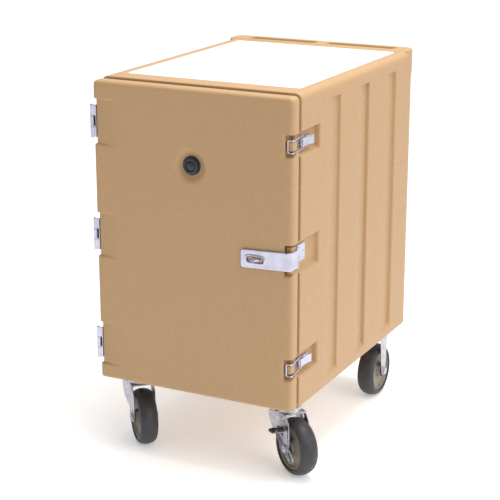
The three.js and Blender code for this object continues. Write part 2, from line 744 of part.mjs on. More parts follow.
function buildVent() {
  const { seat, depth, bore, cap, z } = VENT;
  const floor = DOOR_FRONT + depth - GAP;
  const back = DOOR_BACK + DOOR_PLUG.depth;
  const ring = lathe(
    [
      [9, floor - 2],
      [seat - 4, floor - 2],
      [seat - 4, floor],
      [bore, floor],
      [bore, back],
      [9, back],
      [9, floor - 2],
    ],
    [0, z],
    20,
  );
  add("vent_sleeve", ring, BLACK);
  const front = floor - 2 - GAP;
  const knob = lathe(
    [
      [0, front - 7],
      [cap - 3, front - 7],
      [cap, front - 5],
      [cap, front],
      [8.7, front],
      [8.7, front + 24],
      [0, front + 24],
    ],
    [0, z],
    20,
  );
  const grip = box([-14, 14], [front - 8.5, front - 6], [z - 2.5, z + 2.5]);
  add("vent_cap", join(knob, grip), BLACK);
}

// ---- Casters ------------------------------------------------------------------------------------

// A caster in its own frame: Z up from the floor, X the way it trails and Y along its axle.

function tyre(trail) {
  const { r, half, core } = WHEEL;
  const crown = r / Math.cos(Math.PI / WHEEL_SIDES);
  const profile = [
    [core + GAP, -half + 3],
    [core + 10, -half],
    [crown - 2, -half + 11],
    [crown, -half + 19],
    [crown, half - 19],
    [crown - 2, half - 11],
    [core + 10, half],
    [core + GAP, half - 3],
    [core + GAP, -half + 3],
  ];
  return lathe(profile, [trail, r], WHEEL_SIDES);
}

function wheelCore(trail) {
  const { r, half, core, hub, bore } = WHEEL;
  const profile = [
    [bore + GAP, -half - 1],
    [hub, -half - 1],
    [hub + 3, -half + 11],
    [core, -half + 6],
    [core, half - 6],
    [hub + 3, half - 11],
    [hub, half + 1],
    [bore + GAP, half + 1],
    [bore + GAP, -half - 1],
  ];
  return lathe(profile, [trail, r], WHEEL_SIDES);
}

function axle(trail, room) {
  const { bore, r } = WHEEL;
  const shaft = rod("y", bore, [-LEG.outer - room - 6, LEG.outer + 6], [trail, r], 12);
  const near = rod("y", bore + 5, [-LEG.outer - room - GAP - 6, -LEG.outer - room - GAP], [trail, r], 6);
  const far = rod("y", bore + 5, [LEG.outer + GAP, LEG.outer + GAP + 6], [trail, r], 6);
  return join(shaft, near, far);
}

function forkLegs(side, top) {
  const legs = [-1, 1].map((way) =>
    alongY(side, way < 0 ? [-LEG.outer, -LEG.inner] : [LEG.inner, LEG.outer], 0, 3));
  return join(legs, top);
}

function swivelFork(trail) {
  const { crown, eye, outer } = LEG;
  const side = new THREE.Shape();
  side.moveTo(-34, crown + 5);
  side.lineTo(-34, crown - 12);
  side.absarc(trail, WHEEL.r, eye, 1.18 * Math.PI, 2.06 * Math.PI);
  side.lineTo(34, crown + 5);
  side.closePath();
  const crownPlate = box([-34, 34], [-outer, outer], [crown, crown + 5]);
  const race = rod("z", 32, [crown + 4, PLATE.top - PLATE.thick - 5], [0, 0], 20);
  const bores = [
    rod("z", 7 + GAP, [crown - 5, 200], [0, 0], 12),
    rod("y", WHEEL.bore + GAP, [-outer - 1, outer + 1], [trail, WHEEL.r], 12),
  ];
  return cut(forkLegs(side, join(crownPlate, race)), bores);
}

function rigidFork() {
  const top = PLATE.top - PLATE.thick - GAP;
  const { eye, outer } = LEG;
  const side = new THREE.Shape();
  side.moveTo(-24, top);
  side.lineTo(-24, top - 26);
  side.absarc(0, WHEEL.r, eye, 1.06 * Math.PI, 1.94 * Math.PI);
  side.lineTo(24, top - 26);
  side.lineTo(24, top);
  side.closePath();
  const crownPlate = box([-24, 24], [-outer, outer], [top - 4, top]);
  const bore = rod("y", WHEEL.bore + GAP, [-outer - 1, outer + 1], [0, WHEEL.r], 12);
  return cut(forkLegs(side, crownPlate), bore);
}

function boltHeads(x, y) {
  const under = PLATE.top - PLATE.thick;
  return [[-x, -y], [-x, y], [x, -y], [x, y]].map((at) => rod("z", 7, [under - 5, under + 1], at, 6));
}

// The mounting plate. A swivel one carries the kingpin that the fork hangs and turns on.
function topPlate(swivel) {
  const { halfX, halfY, thick, top } = PLATE;
  const plan = roundedRect([-halfX, halfX], [-halfY, halfY], 8);
  const plate = alongZ(plan, [top - thick, top], 0, 1);
  const bolts = boltHeads(halfX - 11, halfY - 11);
  if (!swivel) return join(plate, bolts);
  const collar = rod("z", 28, [top - thick - 5 + GAP, top - thick + 1], [0, 0], 20);
  const kingpin = rod("z", 7, [LEG.crown - 8, top - 1], [0, 0], 12);
  const nut = rod("z", 11, [LEG.crown - 8, LEG.crown - GAP], [0, 0], 6);
  return join(plate, bolts, collar, kingpin, nut);
}

function buildBrake(caster) {
  const { r } = WHEEL;
  const t = CASTER.trail;
  const near = -LEG.outer - GAP;
  const thick = 2.7;
  const arm = alongY(capsule([t - 38, r + 34], [t + 30, r - 20], 9, 8), [near - thick, near]);
  const upper = alongY(capsule([t, r], [t - 4, r + 46], 12, 8), [near - thick, near]);
  const pedal = (u, z) => box([u - 9, u + 9], [near - 26, near - 1], [z - 1.5, z + 1.5]);
  const bore = rod("y", WHEEL.bore + GAP, [near - thick - 1, near + 1], [t, r], 12);
  const steps = [pedal(t - 38, r + 36), pedal(t - 4, r + 50)];
  add("brake_lever", cut(join(arm, upper, steps), bore), ZINC, caster);
  const pad = (u, z) => {
    const block = roundedRect([u - 10, u + 10], [near - 27, near - 6], 4);
    return alongZ(block, [z + 1.5 + GAP, z + 7], 0, 1);
  };
  add("brake_lock_pad", pad(t - 38, r + 36), RUBBER, caster);
  add("brake_release_pad", pad(t - 4, r + 50), RUBBER, caster);
}

function buildCaster(name, [x, y], { swivel = false, turn = 90, brake = false }) {
  const trail = swivel ? CASTER.trail : 0;
  const fixed = new THREE.Group();
  fixed.position.set(x, y, 0);
  fixed.rotation.z = Math.PI / 2;
  const turning = new THREE.Group();
  turning.position.set(x, y, 0);
  turning.rotation.z = THREE.MathUtils.degToRad(turn);
  carrier.add(fixed, turning);
  add(`${name}_caster_plate`, topPlate(swivel), ZINC, fixed);
  add(`${name}_caster_fork`, swivel ? swivelFork(trail) : rigidFork(), ZINC, turning);
  add(`${name}_caster_axle`, axle(trail, brake ? 3.3 : 0), ZINC, turning);
  add(`${name}_wheel_core`, wheelCore(trail), CORE, turning);
  add(`${name}_wheel_tyre`, tyre(trail), TREAD, turning);
  if (brake) buildBrake(turning);
}

// ---- Assembly -----------------------------------------------------------------------------------

buildCabinet();
buildDoor();
["top", "middle", "bottom"].forEach((name, i) => buildHinge(name, hingeHeights[i]));
["upper", "lower"].forEach((name, i) => buildLatch(name, latchHeights[i]));
buildHasp();
buildVent();
buildCaster("front_left", [-CASTER.x, CASTER.front], { swivel: true, turn: FRONT_LEFT_TURN });
buildCaster("front_right", [CASTER.x, CASTER.front], {
  swivel: true,
  turn: FRONT_RIGHT_TURN,
  brake: true,
});
buildCaster("rear_left", [-CASTER.x, CASTER.rear], {});
buildCaster("rear_right", [CASTER.x, CASTER.rear], {});

export default carrier;
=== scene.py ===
"""The looks of the insulated food carrier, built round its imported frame.

Shapes are worked out in millimetres, +Z up, +Y towards the back, and become metres when their mesh
is made. A moulded or stamped piece is given as the distance to its surface, sampled on a fine grid
in a Block, so that its edges are rounded where it is joined and cut. A turned piece is a lathe mesh.
"""

import math

import bpy
import numpy as np
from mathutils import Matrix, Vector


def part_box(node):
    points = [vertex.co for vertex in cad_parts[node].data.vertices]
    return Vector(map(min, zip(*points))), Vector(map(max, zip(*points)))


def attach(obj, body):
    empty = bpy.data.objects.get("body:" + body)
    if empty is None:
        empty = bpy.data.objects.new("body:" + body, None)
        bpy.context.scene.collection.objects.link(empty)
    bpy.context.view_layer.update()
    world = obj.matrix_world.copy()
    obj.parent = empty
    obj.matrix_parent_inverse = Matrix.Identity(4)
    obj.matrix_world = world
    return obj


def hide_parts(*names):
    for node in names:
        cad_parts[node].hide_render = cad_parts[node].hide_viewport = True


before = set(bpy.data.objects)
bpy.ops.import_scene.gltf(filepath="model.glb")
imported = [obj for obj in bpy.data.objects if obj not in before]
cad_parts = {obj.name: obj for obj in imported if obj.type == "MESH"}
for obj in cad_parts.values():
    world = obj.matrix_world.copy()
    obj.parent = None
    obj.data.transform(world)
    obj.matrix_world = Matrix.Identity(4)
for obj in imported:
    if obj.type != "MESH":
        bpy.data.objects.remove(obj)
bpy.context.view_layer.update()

import openvdb
from mathutils import Matrix, Vector

MM = 0.001


def span(node, axis):
    """The lowest and highest place of a CAD node along x, y or z, in millimetres."""
    low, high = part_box(node)
    i = "xyz".index(axis)
    return low[i] / MM, high[i] / MM


# ---- Sizes ----

HALF_WIDTH = span("cabinet_shell", "x")[1]
FRONT, RAIL_BACK = span("cabinet_shell", "y")
BOTTOM, RAIL_TOP = span("cabinet_shell", "z")
TOP = RAIL_TOP - 5
BACK = RAIL_BACK - 22
CORNER_LOW, CORNER_HIGH = 5, 18

CAVITY_HALF = 236
CAVITY_LOW, CAVITY_HIGH, CAVITY_BACK = 262, 944, 347
LEDGE_FIRST, LEDGE_PITCH, LEDGE_PAIRS = 330, 76, 8
LEDGE_REACH, LEDGE_THICK = 14, 8

DOOR_FRONT, PLUG_BACK = span("door_shell", "y")
DOOR_BACK = PLUG_BACK - 12
GAP_BACK = DOOR_BACK - 6.5  # the rim of the door stands back a little from the cabinet
DOOR_LOW, DOOR_HIGH = span("door_shell", "z")
PILLOW = 11
DOOR_CORNER_LOW, DOOR_CORNER_HIGH = 8, 13

BOARD_X, BOARD_Y, BOARD_Z = (span("work_surface", axis) for axis in "xyz")
BOARD_GAP = 1.6

HARDWARE_Z = 597
LATCHES = {"upper": HARDWARE_Z + 284, "lower": HARDWARE_Z - 284}
HINGES = {"top": HARDWARE_Z + 297, "middle": HARDWARE_Z, "bottom": HARDWARE_Z - 297}
POCKET_BACK, LATCH_FLOOR, HASP_FLOOR = -235, 264, 268
LATCH_POCKET, HASP_POCKET = 30.5, 40.5  # half heights
SILL_SLOPE, REAR_SLOPE = 8, 5
SEAM_Y = -218

VENT_Z = 807
FOAM_HALF, DOOR_FOAM_HALF, DOOR_FOAM_BACK = 256, 250, -360
GRIP_X, GRIP_Y, GRIP_FLOOR = (14, 230), (366, 402), 967
FLUTE_FIRST, FLUTE_PITCH, FLUTE_WIDTH, FLUTE_RAMP, FLUTE_DEPTH = -184, 189, 74, 66, 9
FLUTE_LOW, FLUTE_HIGH = 228, 964

# ---- Distances ----


def smooth_min(a, b, blend):
    if blend == 0:
        return np.minimum(a, b)
    near = np.maximum(blend - np.abs(a - b), 0) / blend
    return np.minimum(a, b) - near * near * blend / 4


def smooth_max(a, b, blend):
    return -smooth_min(-a, -b, blend)


def corner(a, b, edge):
    """The distance to a convex edge between two faces, rounded to a radius."""
    a, b = a + edge, b + edge
    outside = np.hypot(np.maximum(a, 0), np.maximum(b, 0))
    return np.minimum(np.maximum(a, b), 0) + outside - edge


def between(a, ends):
    return np.abs(a - (ends[0] + ends[1]) / 2) - (ends[1] - ends[0]) / 2


def rect(a, b, a_ends, b_ends, r=0):
    return corner(between(a, a_ends), between(b, b_ends), r)


def prism(flat, along, ends, edge=0):
    """A flat shape's distance, carried along an axis between two ends."""
    return corner(flat, between(along, ends), edge)


def brick(x, y, z, x_ends, y_ends, z_ends, edge=0):
    return prism(rect(x, y, x_ends, y_ends, edge), z, z_ends, edge)


def circle(a, b, centre, r):
    return np.hypot(a - centre[0], b - centre[1]) - r


def bar(a, b, start, end, r):
    """A flat bar with round ends."""
    along = np.array(end, float) - start
    t = ((a - start[0]) * along[0] + (b - start[1]) * along[1]) / (along @ along)
    t = np.clip(t, 0, 1)
    return np.hypot(a - start[0] - along[0] * t, b - start[1] - along[1] * t) - r


def wire(x, y, z, points, r):
    """A round wire through the points."""
    far = None
    for start, end in zip(points, points[1:]):
        start = np.array(start, float)
        along = np.array(end, float) - start
        if not along.any():
            continue
        t = (x - start[0]) * along[0] + (y - start[1]) * along[1] + (z - start[2]) * along[2]
        t = np.clip(t / (along @ along), 0, 1)
        here = [p - s - d * t for p, s, d in zip((x, y, z), start, along)]
        length = np.sqrt(here[0] ** 2 + here[1] ** 2 + here[2] ** 2) - r
        far = length if far is None else smooth_min(far, length, r / 3)
    return far


def polygon(a, b, points, r=0):
    """An outline through the points, grown by r."""
    nearest = 1e9
    sign = 1
    for (pa, pb), (qa, qb) in zip(points, points[-1:] + points[:-1]):
        ea, eb = qa - pa, qb - pb
        wa, wb = a - pa, b - pb
        t = np.clip((wa * ea + wb * eb) / (ea * ea + eb * eb), 0, 1)
        nearest = np.minimum(nearest, (wa - ea * t) ** 2 + (wb - eb * t) ** 2)
        above, below, left = b >= pb, b < qb, ea * wb > eb * wa
        crossing = (above & below & left) | (~above & ~below & ~left)
        sign = np.where(crossing, -sign, sign)
    return sign * np.sqrt(nearest) - r


def hexagon(a, b, centre, apothem, turn=0.0):
    a, b = a - centre[0], b - centre[1]
    far = -1e9
    for k in range(3):
        angle = turn + k * math.pi / 3
        far = np.maximum(far, np.abs(a * math.cos(angle) + b * math.sin(angle)))
    return far - apothem


def eased(points, r, closed=False, steps=5):
    """A line through the points with its corners eased by a reach of r."""
    points = [np.array(p, float) for p in points]
    count = len(points)
    line = []
    for i, here in enumerate(points):
        if not closed and i in (0, count - 1):
            line.append(here)
            continue
        ends = [points[i - 1] - here, points[(i + 1) % count] - here]
        a, b = (here + e * min(r / np.linalg.norm(e), 0.49) for e in ends)
        for t in np.linspace(0, 1, steps):
            line.append((1 - t) ** 2 * a + 2 * t * (1 - t) * here + t * t * b)
    return line


# ---- Meshes ----


class Block:
    """A block of space on a grid, which holds the distance to a shape's surface."""

    def __init__(self, low, high, step):
        self.step = step
        self.low = np.array(low, float) - 3 * step
        counts = np.ceil((np.array(high) + 3 * step - self.low) / step).astype(int) + 1
        axes = [self.low[i] + step * np.arange(counts[i]) for i in range(3)]
        self.axes = [a.astype(np.float32) for a in np.meshgrid(*axes, indexing="ij", sparse=True)]
        self.far = np.full(counts, 1e3, np.float32)

    def window(self, low, high, margin):
        if low is None:
            return (slice(None),) * 3, self.axes
        first = ((np.array(low, float) - margin - self.low) / self.step).astype(int)
        last = ((np.array(high, float) + margin - self.low) / self.step).astype(int) + 2
        cuts = tuple(slice(max(int(a), 0), max(int(b), 0)) for a, b in zip(first, last))
        pick = lambda i: tuple(cuts[i] if n == i else slice(None) for n in range(3))
        return cuts, [self.axes[i][pick(i)] for i in range(3)]

    def add(self, shape, blend=0, low=None, high=None):
        cuts, axes = self.window(low, high, blend + 4 * self.step)
        self.far[cuts] = smooth_min(self.far[cuts], shape(*axes), blend)

    def cut(self, shape, blend=0, low=None, high=None):
        cuts, axes = self.window(low, high, blend + 4 * self.step)
        self.far[cuts] = smooth_max(self.far[cuts], -shape(*axes), blend)

    def mesh(self, name, adaptivity=0.02):
        band = 3 * self.step
        grid = openvdb.FloatGrid(band)
        grid.copyFromArray(np.clip(self.far, -band, band))
        points, triangles, quads = grid.convertToPolygons(0.0, adaptivity)
        points = (points * self.step + self.low) * MM
        mesh = bpy.data.meshes.new(name)
        faces = triangles[:, ::-1].tolist() + quads[:, ::-1].tolist()
        mesh.from_pydata(points.tolist(), [], faces)
        mesh.shade_smooth()
        return mesh


def turned(name, profile, sides=96):
    """A closed profile of (radius, y) points turned about the Y axis."""
    rings = np.array(profile, float)
    angles = np.arange(sides) * 2 * math.pi / sides
    points = [(r * math.cos(a) * MM, y * MM, r * math.sin(a) * MM) for a in angles for r, y in rings]
    count = len(rings)
    faces = []
    for i in range(sides):
        here, there = i * count, (i + 1) % sides * count
        for j in range(count):
            k = (j + 1) % count
            faces.append((here + j, there + j, there + k, here + k))
    mesh = bpy.data.meshes.new(name)
    mesh.from_pydata(points, [], faces)
    mesh.shade_smooth()
    return mesh


def placed(mesh, at=(0, 0, 0), turn=0):
    """A copy of a mesh, turned about the vertical and moved, in millimetres."""
    copy = mesh.copy()
    copy.transform(Matrix.Translation(Vector(at) * MM) @ Matrix.Rotation(turn, 4, "Z"))
    return copy


def piece(name, mesh, finish, body, *nodes):
    """A mesh as a piece of the carrier, which rides on a body and stands for CAD nodes."""
    material, slot = finish
    made = bpy.data.objects.new(name, mesh)
    bpy.context.scene.collection.objects.link(made)
    made.data.materials.clear()
    made.data.materials.append(material)
    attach(made, body)
    if nodes:
        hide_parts(*nodes)
    return made


# ---- Materials ----


class Paint:
    """A procedural material under construction."""

    def __init__(self, name, colour, roughness, metallic=0.0):
        self.material = bpy.data.materials.new(name)
        self.material.use_nodes = True
        self.nodes = self.material.node_tree.nodes
        self.links = self.material.node_tree.links
        self.shader = self.nodes["Principled BSDF"]
        self.shader.inputs["Base Color"].default_value = (*colour, 1)
        self.shader.inputs["Roughness"].default_value = roughness
        self.shader.inputs["Metallic"].default_value = metallic
        self.place = self.nodes.new("ShaderNodeTexCoord").outputs["Object"]

    def noise(self, scale, detail=2.0, stretch=None):
        node = self.nodes.new("ShaderNodeTexNoise")
        node.inputs["Scale"].default_value = scale
        node.inputs["Detail"].default_value = detail
        place = self.place
        if stretch:
            mapping = self.nodes.new("ShaderNodeMapping")
            mapping.inputs["Scale"].default_value = stretch
            self.links.new(place, mapping.inputs["Vector"])
            place = mapping.outputs["Vector"]
        self.links.new(place, node.inputs["Vector"])
        return node.outputs["Fac"]

    def vary(self, socket, value, low, high, places=(0.3, 0.7)):
        """Let a noise drive a socket between two colours, or two greys given as one number each."""
        node = self.nodes.new("ShaderNodeValToRGB")
        for element, at, tone in zip(node.color_ramp.elements, places, (low, high)):
            element.position = at
            element.color = (tone,) * 3 + (1,) if isinstance(tone, float) else (*tone, 1)
        self.links.new(value, node.inputs["Fac"])
        self.links.new(node.outputs["Color"], self.shader.inputs[socket])

    def colour(self, value, *tones):
        self.vary("Base Color", value, *tones)

    def rough(self, value, *greys):
        self.vary("Roughness", value, *greys)

    def bump(self, height, distance, strength=1.0):
        node = self.nodes.new("ShaderNodeBump")
        node.inputs["Distance"].default_value = distance
        node.inputs["Strength"].default_value = strength
        self.links.new(height, node.inputs["Height"])
        earlier = self.shader.inputs["Normal"]
        if earlier.is_linked:
            self.links.new(earlier.links[0].from_socket, node.inputs["Normal"])
        self.links.new(node.outputs["Normal"], self.shader.inputs["Normal"])


def polyethylene():
    """Moulded tan polyethylene: a fine pebble, and a slight mottling of the pigment."""
    paint = Paint("tan_polyethylene", (0.48, 0.297, 0.148), 0.5)
    mottle = paint.noise(90, 3)
    paint.colour(mottle, (0.466, 0.288, 0.142), (0.494, 0.308, 0.154))
    paint.rough(paint.noise(60, 3), 0.46, 0.56)
    paint.bump(paint.noise(330, 2), 0.00045, 0.55)
    paint.shader.inputs["Specular IOR Level"].default_value = 0.45
    return paint.material


def board_plastic():
    """The matt white board in the top, with a faint tooth."""
    paint = Paint("white_board", (0.9, 0.9, 0.9), 0.42)
    paint.colour(paint.noise(9, 5), (0.88, 0.88, 0.885), (0.93, 0.93, 0.93))
    paint.rough(paint.noise(45, 3), 0.36, 0.5)
    paint.bump(paint.noise(700, 2), 0.0002, 0.4)
    return paint.material


def steel():
    """Stainless steel, brushed along its length."""
    paint = Paint("stainless_steel", (0.5, 0.485, 0.56), 0.3, 1.0)
    grain = paint.noise(260, 3, (1, 1, 14))
    paint.colour(paint.noise(40, 3), (0.5, 0.496, 0.607), (0.62, 0.62, 0.74))
    paint.rough(grain, 0.24, 0.42, (0.25, 0.75))
    paint.bump(grain, 0.0002, 0.25)
    return paint.material


def zinc():
    """Zinc plate over pressed steel: duller, with a faint cloudy spangle."""
    paint = Paint("zinc_plate", (0.34, 0.34, 0.38), 0.32, 1.0)
    cloud = paint.noise(120, 4)
    paint.colour(cloud, (0.4, 0.4, 0.45), (0.55, 0.55, 0.61))
    paint.rough(paint.noise(70, 4), 0.28, 0.46)
    paint.bump(paint.noise(500, 2), 0.0002, 0.3)
    return paint.material


def black_plastic():
    paint = Paint("black_plastic", (0.018, 0.018, 0.02), 0.34)
    paint.colour(paint.noise(90, 3), (0.014, 0.014, 0.016), (0.026, 0.026, 0.03))
    paint.rough(paint.noise(80, 3), 0.28, 0.42)
    paint.bump(paint.noise(900, 2), 0.00015, 0.4)
    return paint.material


def rubber():
    paint = Paint("black_rubber", (0.03, 0.03, 0.031), 0.6)
    paint.colour(paint.noise(120, 4), (0.022, 0.022, 0.023), (0.045, 0.045, 0.046))
    paint.rough(paint.noise(90, 3), 0.5, 0.72)
    paint.bump(paint.noise(800, 2), 0.0003, 0.5)
    return paint.material


def tyre_rubber():
    """The grey polyurethane of the treads, a little dusty."""
    paint = Paint("grey_tyre", (0.035, 0.033, 0.037), 0.5)
    dust = paint.noise(55, 5)
    paint.colour(dust, (0.028, 0.027, 0.03), (0.046, 0.044, 0.049), (0.3, 0.72))
    paint.rough(paint.noise(70, 3), 0.4, 0.58)
    paint.bump(paint.noise(600, 2), 0.0002, 0.35)
    return paint.material


def taupe_plastic():
    """The glass-filled nylon of the wheel cores."""
    paint = Paint("taupe_plastic", (0.24, 0.205, 0.155), 0.42)
    cloud = paint.noise(60, 4)
    paint.colour(cloud, (0.215, 0.185, 0.14), (0.275, 0.24, 0.185))
    paint.rough(paint.noise(80, 3), 0.34, 0.5)
    paint.bump(paint.noise(500, 2), 0.0002, 0.3)
    return paint.material


def foam():
    """Rigid foam with small cells."""
    paint = Paint("foam", (0.82, 0.72, 0.42), 0.9)
    paint.colour(paint.noise(200, 4), (0.74, 0.64, 0.35), (0.87, 0.78, 0.5))
    paint.bump(paint.noise(420, 3), 0.0008, 0.8)
    return paint.material


# Each finish is a material, and the CAD material slot that it stands for.
TAN = polyethylene(), "tan_polyethylene"
WHITE = board_plastic(), "white_board"
STEEL = steel(), "stainless_steel"
ZINC = zinc(), "zinc_plate"
BLACK = black_plastic(), "black_plastic"
RUBBER = rubber(), "black_rubber"
TYRE = tyre_rubber(), "grey_tyre"
TAUPE = taupe_plastic(), "taupe_plastic"
FOAM = foam(), "foam"

# ---- Cabinet ----


def cabinet_outside(x, y, z):
    corner_radius = np.where(z < HARDWARE_Z, CORNER_LOW, CORNER_HIGH)
    face = rect(x, z, (-HALF_WIDTH, HALF_WIDTH), (BOTTOM, TOP), corner_radius)
    front = prism(face, y, (FRONT, BACK + 60), 3)
    back = prism(face, y, (FRONT - 60, BACK), 14)
    land = rect(x, z, (12 - HALF_WIDTH, HALF_WIDTH - 12), (BOTTOM + 12, TOP - 12), 10)
    rebate = np.minimum(land, FRONT + 3 - y)
    return np.maximum(np.maximum(front, back), rebate)


def grip_rail(x, y, z):
    """The raised rail across the back of the top, which hangs over the rear wall."""
    profile = [(356, 948), (388, 940), (411, 985), (411, 1005), (356, 1005)]
    plan = rect(x, y, (2 - HALF_WIDTH, HALF_WIDTH - 2), (290, RAIL_BACK), 28)
    return smooth_max(polygon(y, z, profile, 4), plan, 6)


def flute(front):
    """An upright flute in each side wall: a gentle ramp that ends at a steeper wall behind it."""

    def cutter(x, y, z):
        ramp = (y - front) * FLUTE_DEPTH / FLUTE_RAMP
        rear = (front + FLUTE_WIDTH - y) * 5
        foot = (z - FLUTE_LOW) * 0.8
        head = (FLUTE_HIGH - z) * 3
        depth = smooth_min(smooth_min(ramp, FLUTE_DEPTH, 2), rear, 0.6)
        depth = smooth_min(depth, smooth_min(foot, head, 1), 1)
        return (HALF_WIDTH - depth - np.abs(x)) * 0.55

    return cutter


def hardware_pocket(z0, half, floor):
    """A recess in the front of the right wall, open towards the door, with a sloping sill."""

    def cutter(x, y, z):
        deep = (HALF_WIDTH - x) / (HALF_WIDTH - floor)
        sill = z0 - half + SILL_SLOPE * deep - z
        rear = y - POCKET_BACK + REAR_SLOPE * deep
        plan = corner(np.maximum(sill, z - z0 - half), rear, 2.5)
        return corner(plan, floor - x, 2.5)

    return cutter


def ledges(x, y, z):
    """The pan ledges on both sides of the cavity."""
    level = np.round((z - LEDGE_FIRST + LEDGE_THICK / 2) / LEDGE_PITCH)
    height = z - LEDGE_FIRST - np.clip(level, 0, LEDGE_PAIRS - 1) * LEDGE_PITCH
    inner = CAVITY_HALF - LEDGE_REACH
    section = [(inner + 2, -4.5), (inner + 2, -2), (CAVITY_HALF + 8, -2), (CAVITY_HALF + 8, -7)]
    return prism(polygon(np.abs(x), height, section, 2), y, (-320, 345), 2)


def cabinet():
    block = Block((-HALF_WIDTH, FRONT, BOTTOM), (HALF_WIDTH, RAIL_BACK, RAIL_TOP), 2)
    block.add(cabinet_outside)
    block.add(grip_rail, 6, (-HALF_WIDTH, 290, 930), (HALF_WIDTH, RAIL_BACK, RAIL_TOP))

    def cavity(x, y, z):
        face = rect(x, z, (-CAVITY_HALF, CAVITY_HALF), (CAVITY_LOW, CAVITY_HIGH), 20)
        return prism(face, y, (FRONT - 80, CAVITY_BACK), 12)

    low, high = (-CAVITY_HALF, FRONT - 60, CAVITY_LOW), (CAVITY_HALF, CAVITY_BACK, CAVITY_HIGH)
    block.cut(cavity, 5, low, high)
    for side in (-1, 1):
        ends = sorted((side * (CAVITY_HALF - LEDGE_REACH), side * (CAVITY_HALF + 8)))
        low, high = (ends[0], -320, 320), (ends[1], 345, 870)
        block.add(ledges, 3, low, high)
        wall = sorted((side * (HALF_WIDTH - FLUTE_DEPTH), side * HALF_WIDTH))
        for i in range(3):
            front = FLUTE_FIRST + i * FLUTE_PITCH
            low, high = (wall[0], front, FLUTE_LOW), (wall[1], front + FLUTE_WIDTH, FLUTE_HIGH)
            block.cut(flute(front), 1.5, low, high)
    for side in (-1, 1):

        def seam(x, y, z, side=side):
            """The faint line that the mould leaves down the side wall."""
            return np.maximum(circle(x, y, (side * (HALF_WIDTH + 0.7), SEAM_Y), 1.7), BOTTOM + 12 - z)

        low, high = (side * HALF_WIDTH, SEAM_Y, BOTTOM), (side * HALF_WIDTH, SEAM_Y, TOP - 24)
        block.cut(seam, 0.6, low, high)
    pockets = [(z, LATCH_POCKET, LATCH_FLOOR) for z in LATCHES.values()]
    pockets.append((HARDWARE_Z, HASP_POCKET, HASP_FLOOR))
    for z, half, floor in pockets:
        low, high = (floor, FRONT, z - half), (HALF_WIDTH, POCKET_BACK, z + half)
        block.cut(hardware_pocket(z, half, floor), 3.5, low, high)

    def board_recess(x, y, z):
        around = [(low - BOARD_GAP, high + BOARD_GAP) for low, high in (BOARD_X, BOARD_Y)]
        return prism(rect(x, y, *around, 8), z, (BOARD_Z[0] - 0.3, TOP + 40))

    low, high = (BOARD_X[0], BOARD_Y[0], BOARD_Z[0]), (BOARD_X[1], BOARD_Y[1], TOP)
    block.cut(board_recess, 3, low, high)
    for side in (-1, 1):
        ends = sorted((side * GRIP_X[0], side * GRIP_X[1]))

        def grip(x, y, z, ends=ends):
            return prism(rect(x, y, ends, GRIP_Y, 12), z, (GRIP_FLOOR, RAIL_TOP + 60), 8)

        block.cut(grip, 5, (ends[0], GRIP_Y[0], GRIP_FLOOR), (ends[1], GRIP_Y[1], RAIL_TOP))
    piece("cabinet_skin", block.mesh("cabinet_skin"), TAN, "cabinet", "cabinet_shell")


def board():
    block = Block(*zip(BOARD_X, BOARD_Y, BOARD_Z), 1.3)
    block.add(lambda x, y, z: prism(rect(x, y, BOARD_X, BOARD_Y, 7.7), z, BOARD_Z, 1.5))
    piece("top_board", block.mesh("top_board"), WHITE, "cabinet", "work_surface")


# ---- Door ----

NOTCH_X, NOTCH_HALF, RELIEF, FADE = -272.5, 58.5, 6.5, 60
DOOR_POCKET_FLOOR, DOOR_POCKET_STEP, DOOR_POCKET_WALL = 257, 266.5, -358
KEEPER_X, KEEPER_FRONT, KEEPER_HALF, POST_HALF = (260, 275), -382, 12, 34
PLUG_HALF, PLUG_LOW, PLUG_HIGH = 222, 276, 930
DOOR_SILL = 12  # how far a pocket's floor rises towards the back


def door_outside(x, y, z):
    corner_radius = np.where(z < HARDWARE_Z, DOOR_CORNER_LOW, DOOR_CORNER_HIGH)
    face = rect(x, z, (-HALF_WIDTH, HALF_WIDTH), (DOOR_LOW, DOOR_HIGH), corner_radius)
    pillow = prism(face, y, (DOOR_FRONT, DOOR_BACK + 80), PILLOW)
    return np.maximum(pillow, prism(face, y, (DOOR_FRONT - 80, GAP_BACK), 2.5))


def door_plug(x, y, z):
    face = rect(x, z, (-PLUG_HALF, PLUG_HALF), (PLUG_LOW, PLUG_HIGH), 18)
    return prism(face, y, (DOOR_FRONT + 20, PLUG_BACK), 5)


def hinge_notch(z0):
    """The room for a hinge: a notch in the edge, and a relief in the face that fades out."""

    def cutter(x, y, z):
        slope = RELIEF / FADE
        relief = (y - DOOR_FRONT - RELIEF + (x - NOTCH_X) * slope) / math.hypot(1, slope)
        side = np.minimum(relief, x - NOTCH_X)
        return np.maximum(side, between(z, (z0 - NOTCH_HALF, z0 + NOTCH_HALF)))

    return cutter


def keeper_pocket(z0, half, lug):
    """A pocket in the right edge, with a lug standing in it that a bail hooks over."""

    def cutter(x, y, z):
        deep = (y - DOOR_FRONT) / (DOOR_POCKET_WALL - DOOR_FRONT)
        high = between(z, (z0 - half + DOOR_SILL * deep, z0 + half))
        front = corner(DOOR_POCKET_FLOOR - x, y - DOOR_POCKET_WALL, 2)
        through = DOOR_POCKET_STEP - x
        hollow = corner(np.minimum(front, through), high, 2.5)
        ends = (z0 - lug, z0 + lug)
        keeper = brick(x, y, z, KEEPER_X, (KEEPER_FRONT, DOOR_POCKET_WALL + 12), ends, 1.5)
        keeper = np.maximum(keeper, y - DOOR_POCKET_WALL)
        across, deep = (KEEPER_X[0], DOOR_POCKET_STEP + 1), (DOOR_POCKET_WALL - 4, DOOR_BACK)
        post = brick(x, y, z, across, deep, ends, 1.5)
        return smooth_max(hollow, -smooth_min(keeper, post, 2), 2)

    return cutter


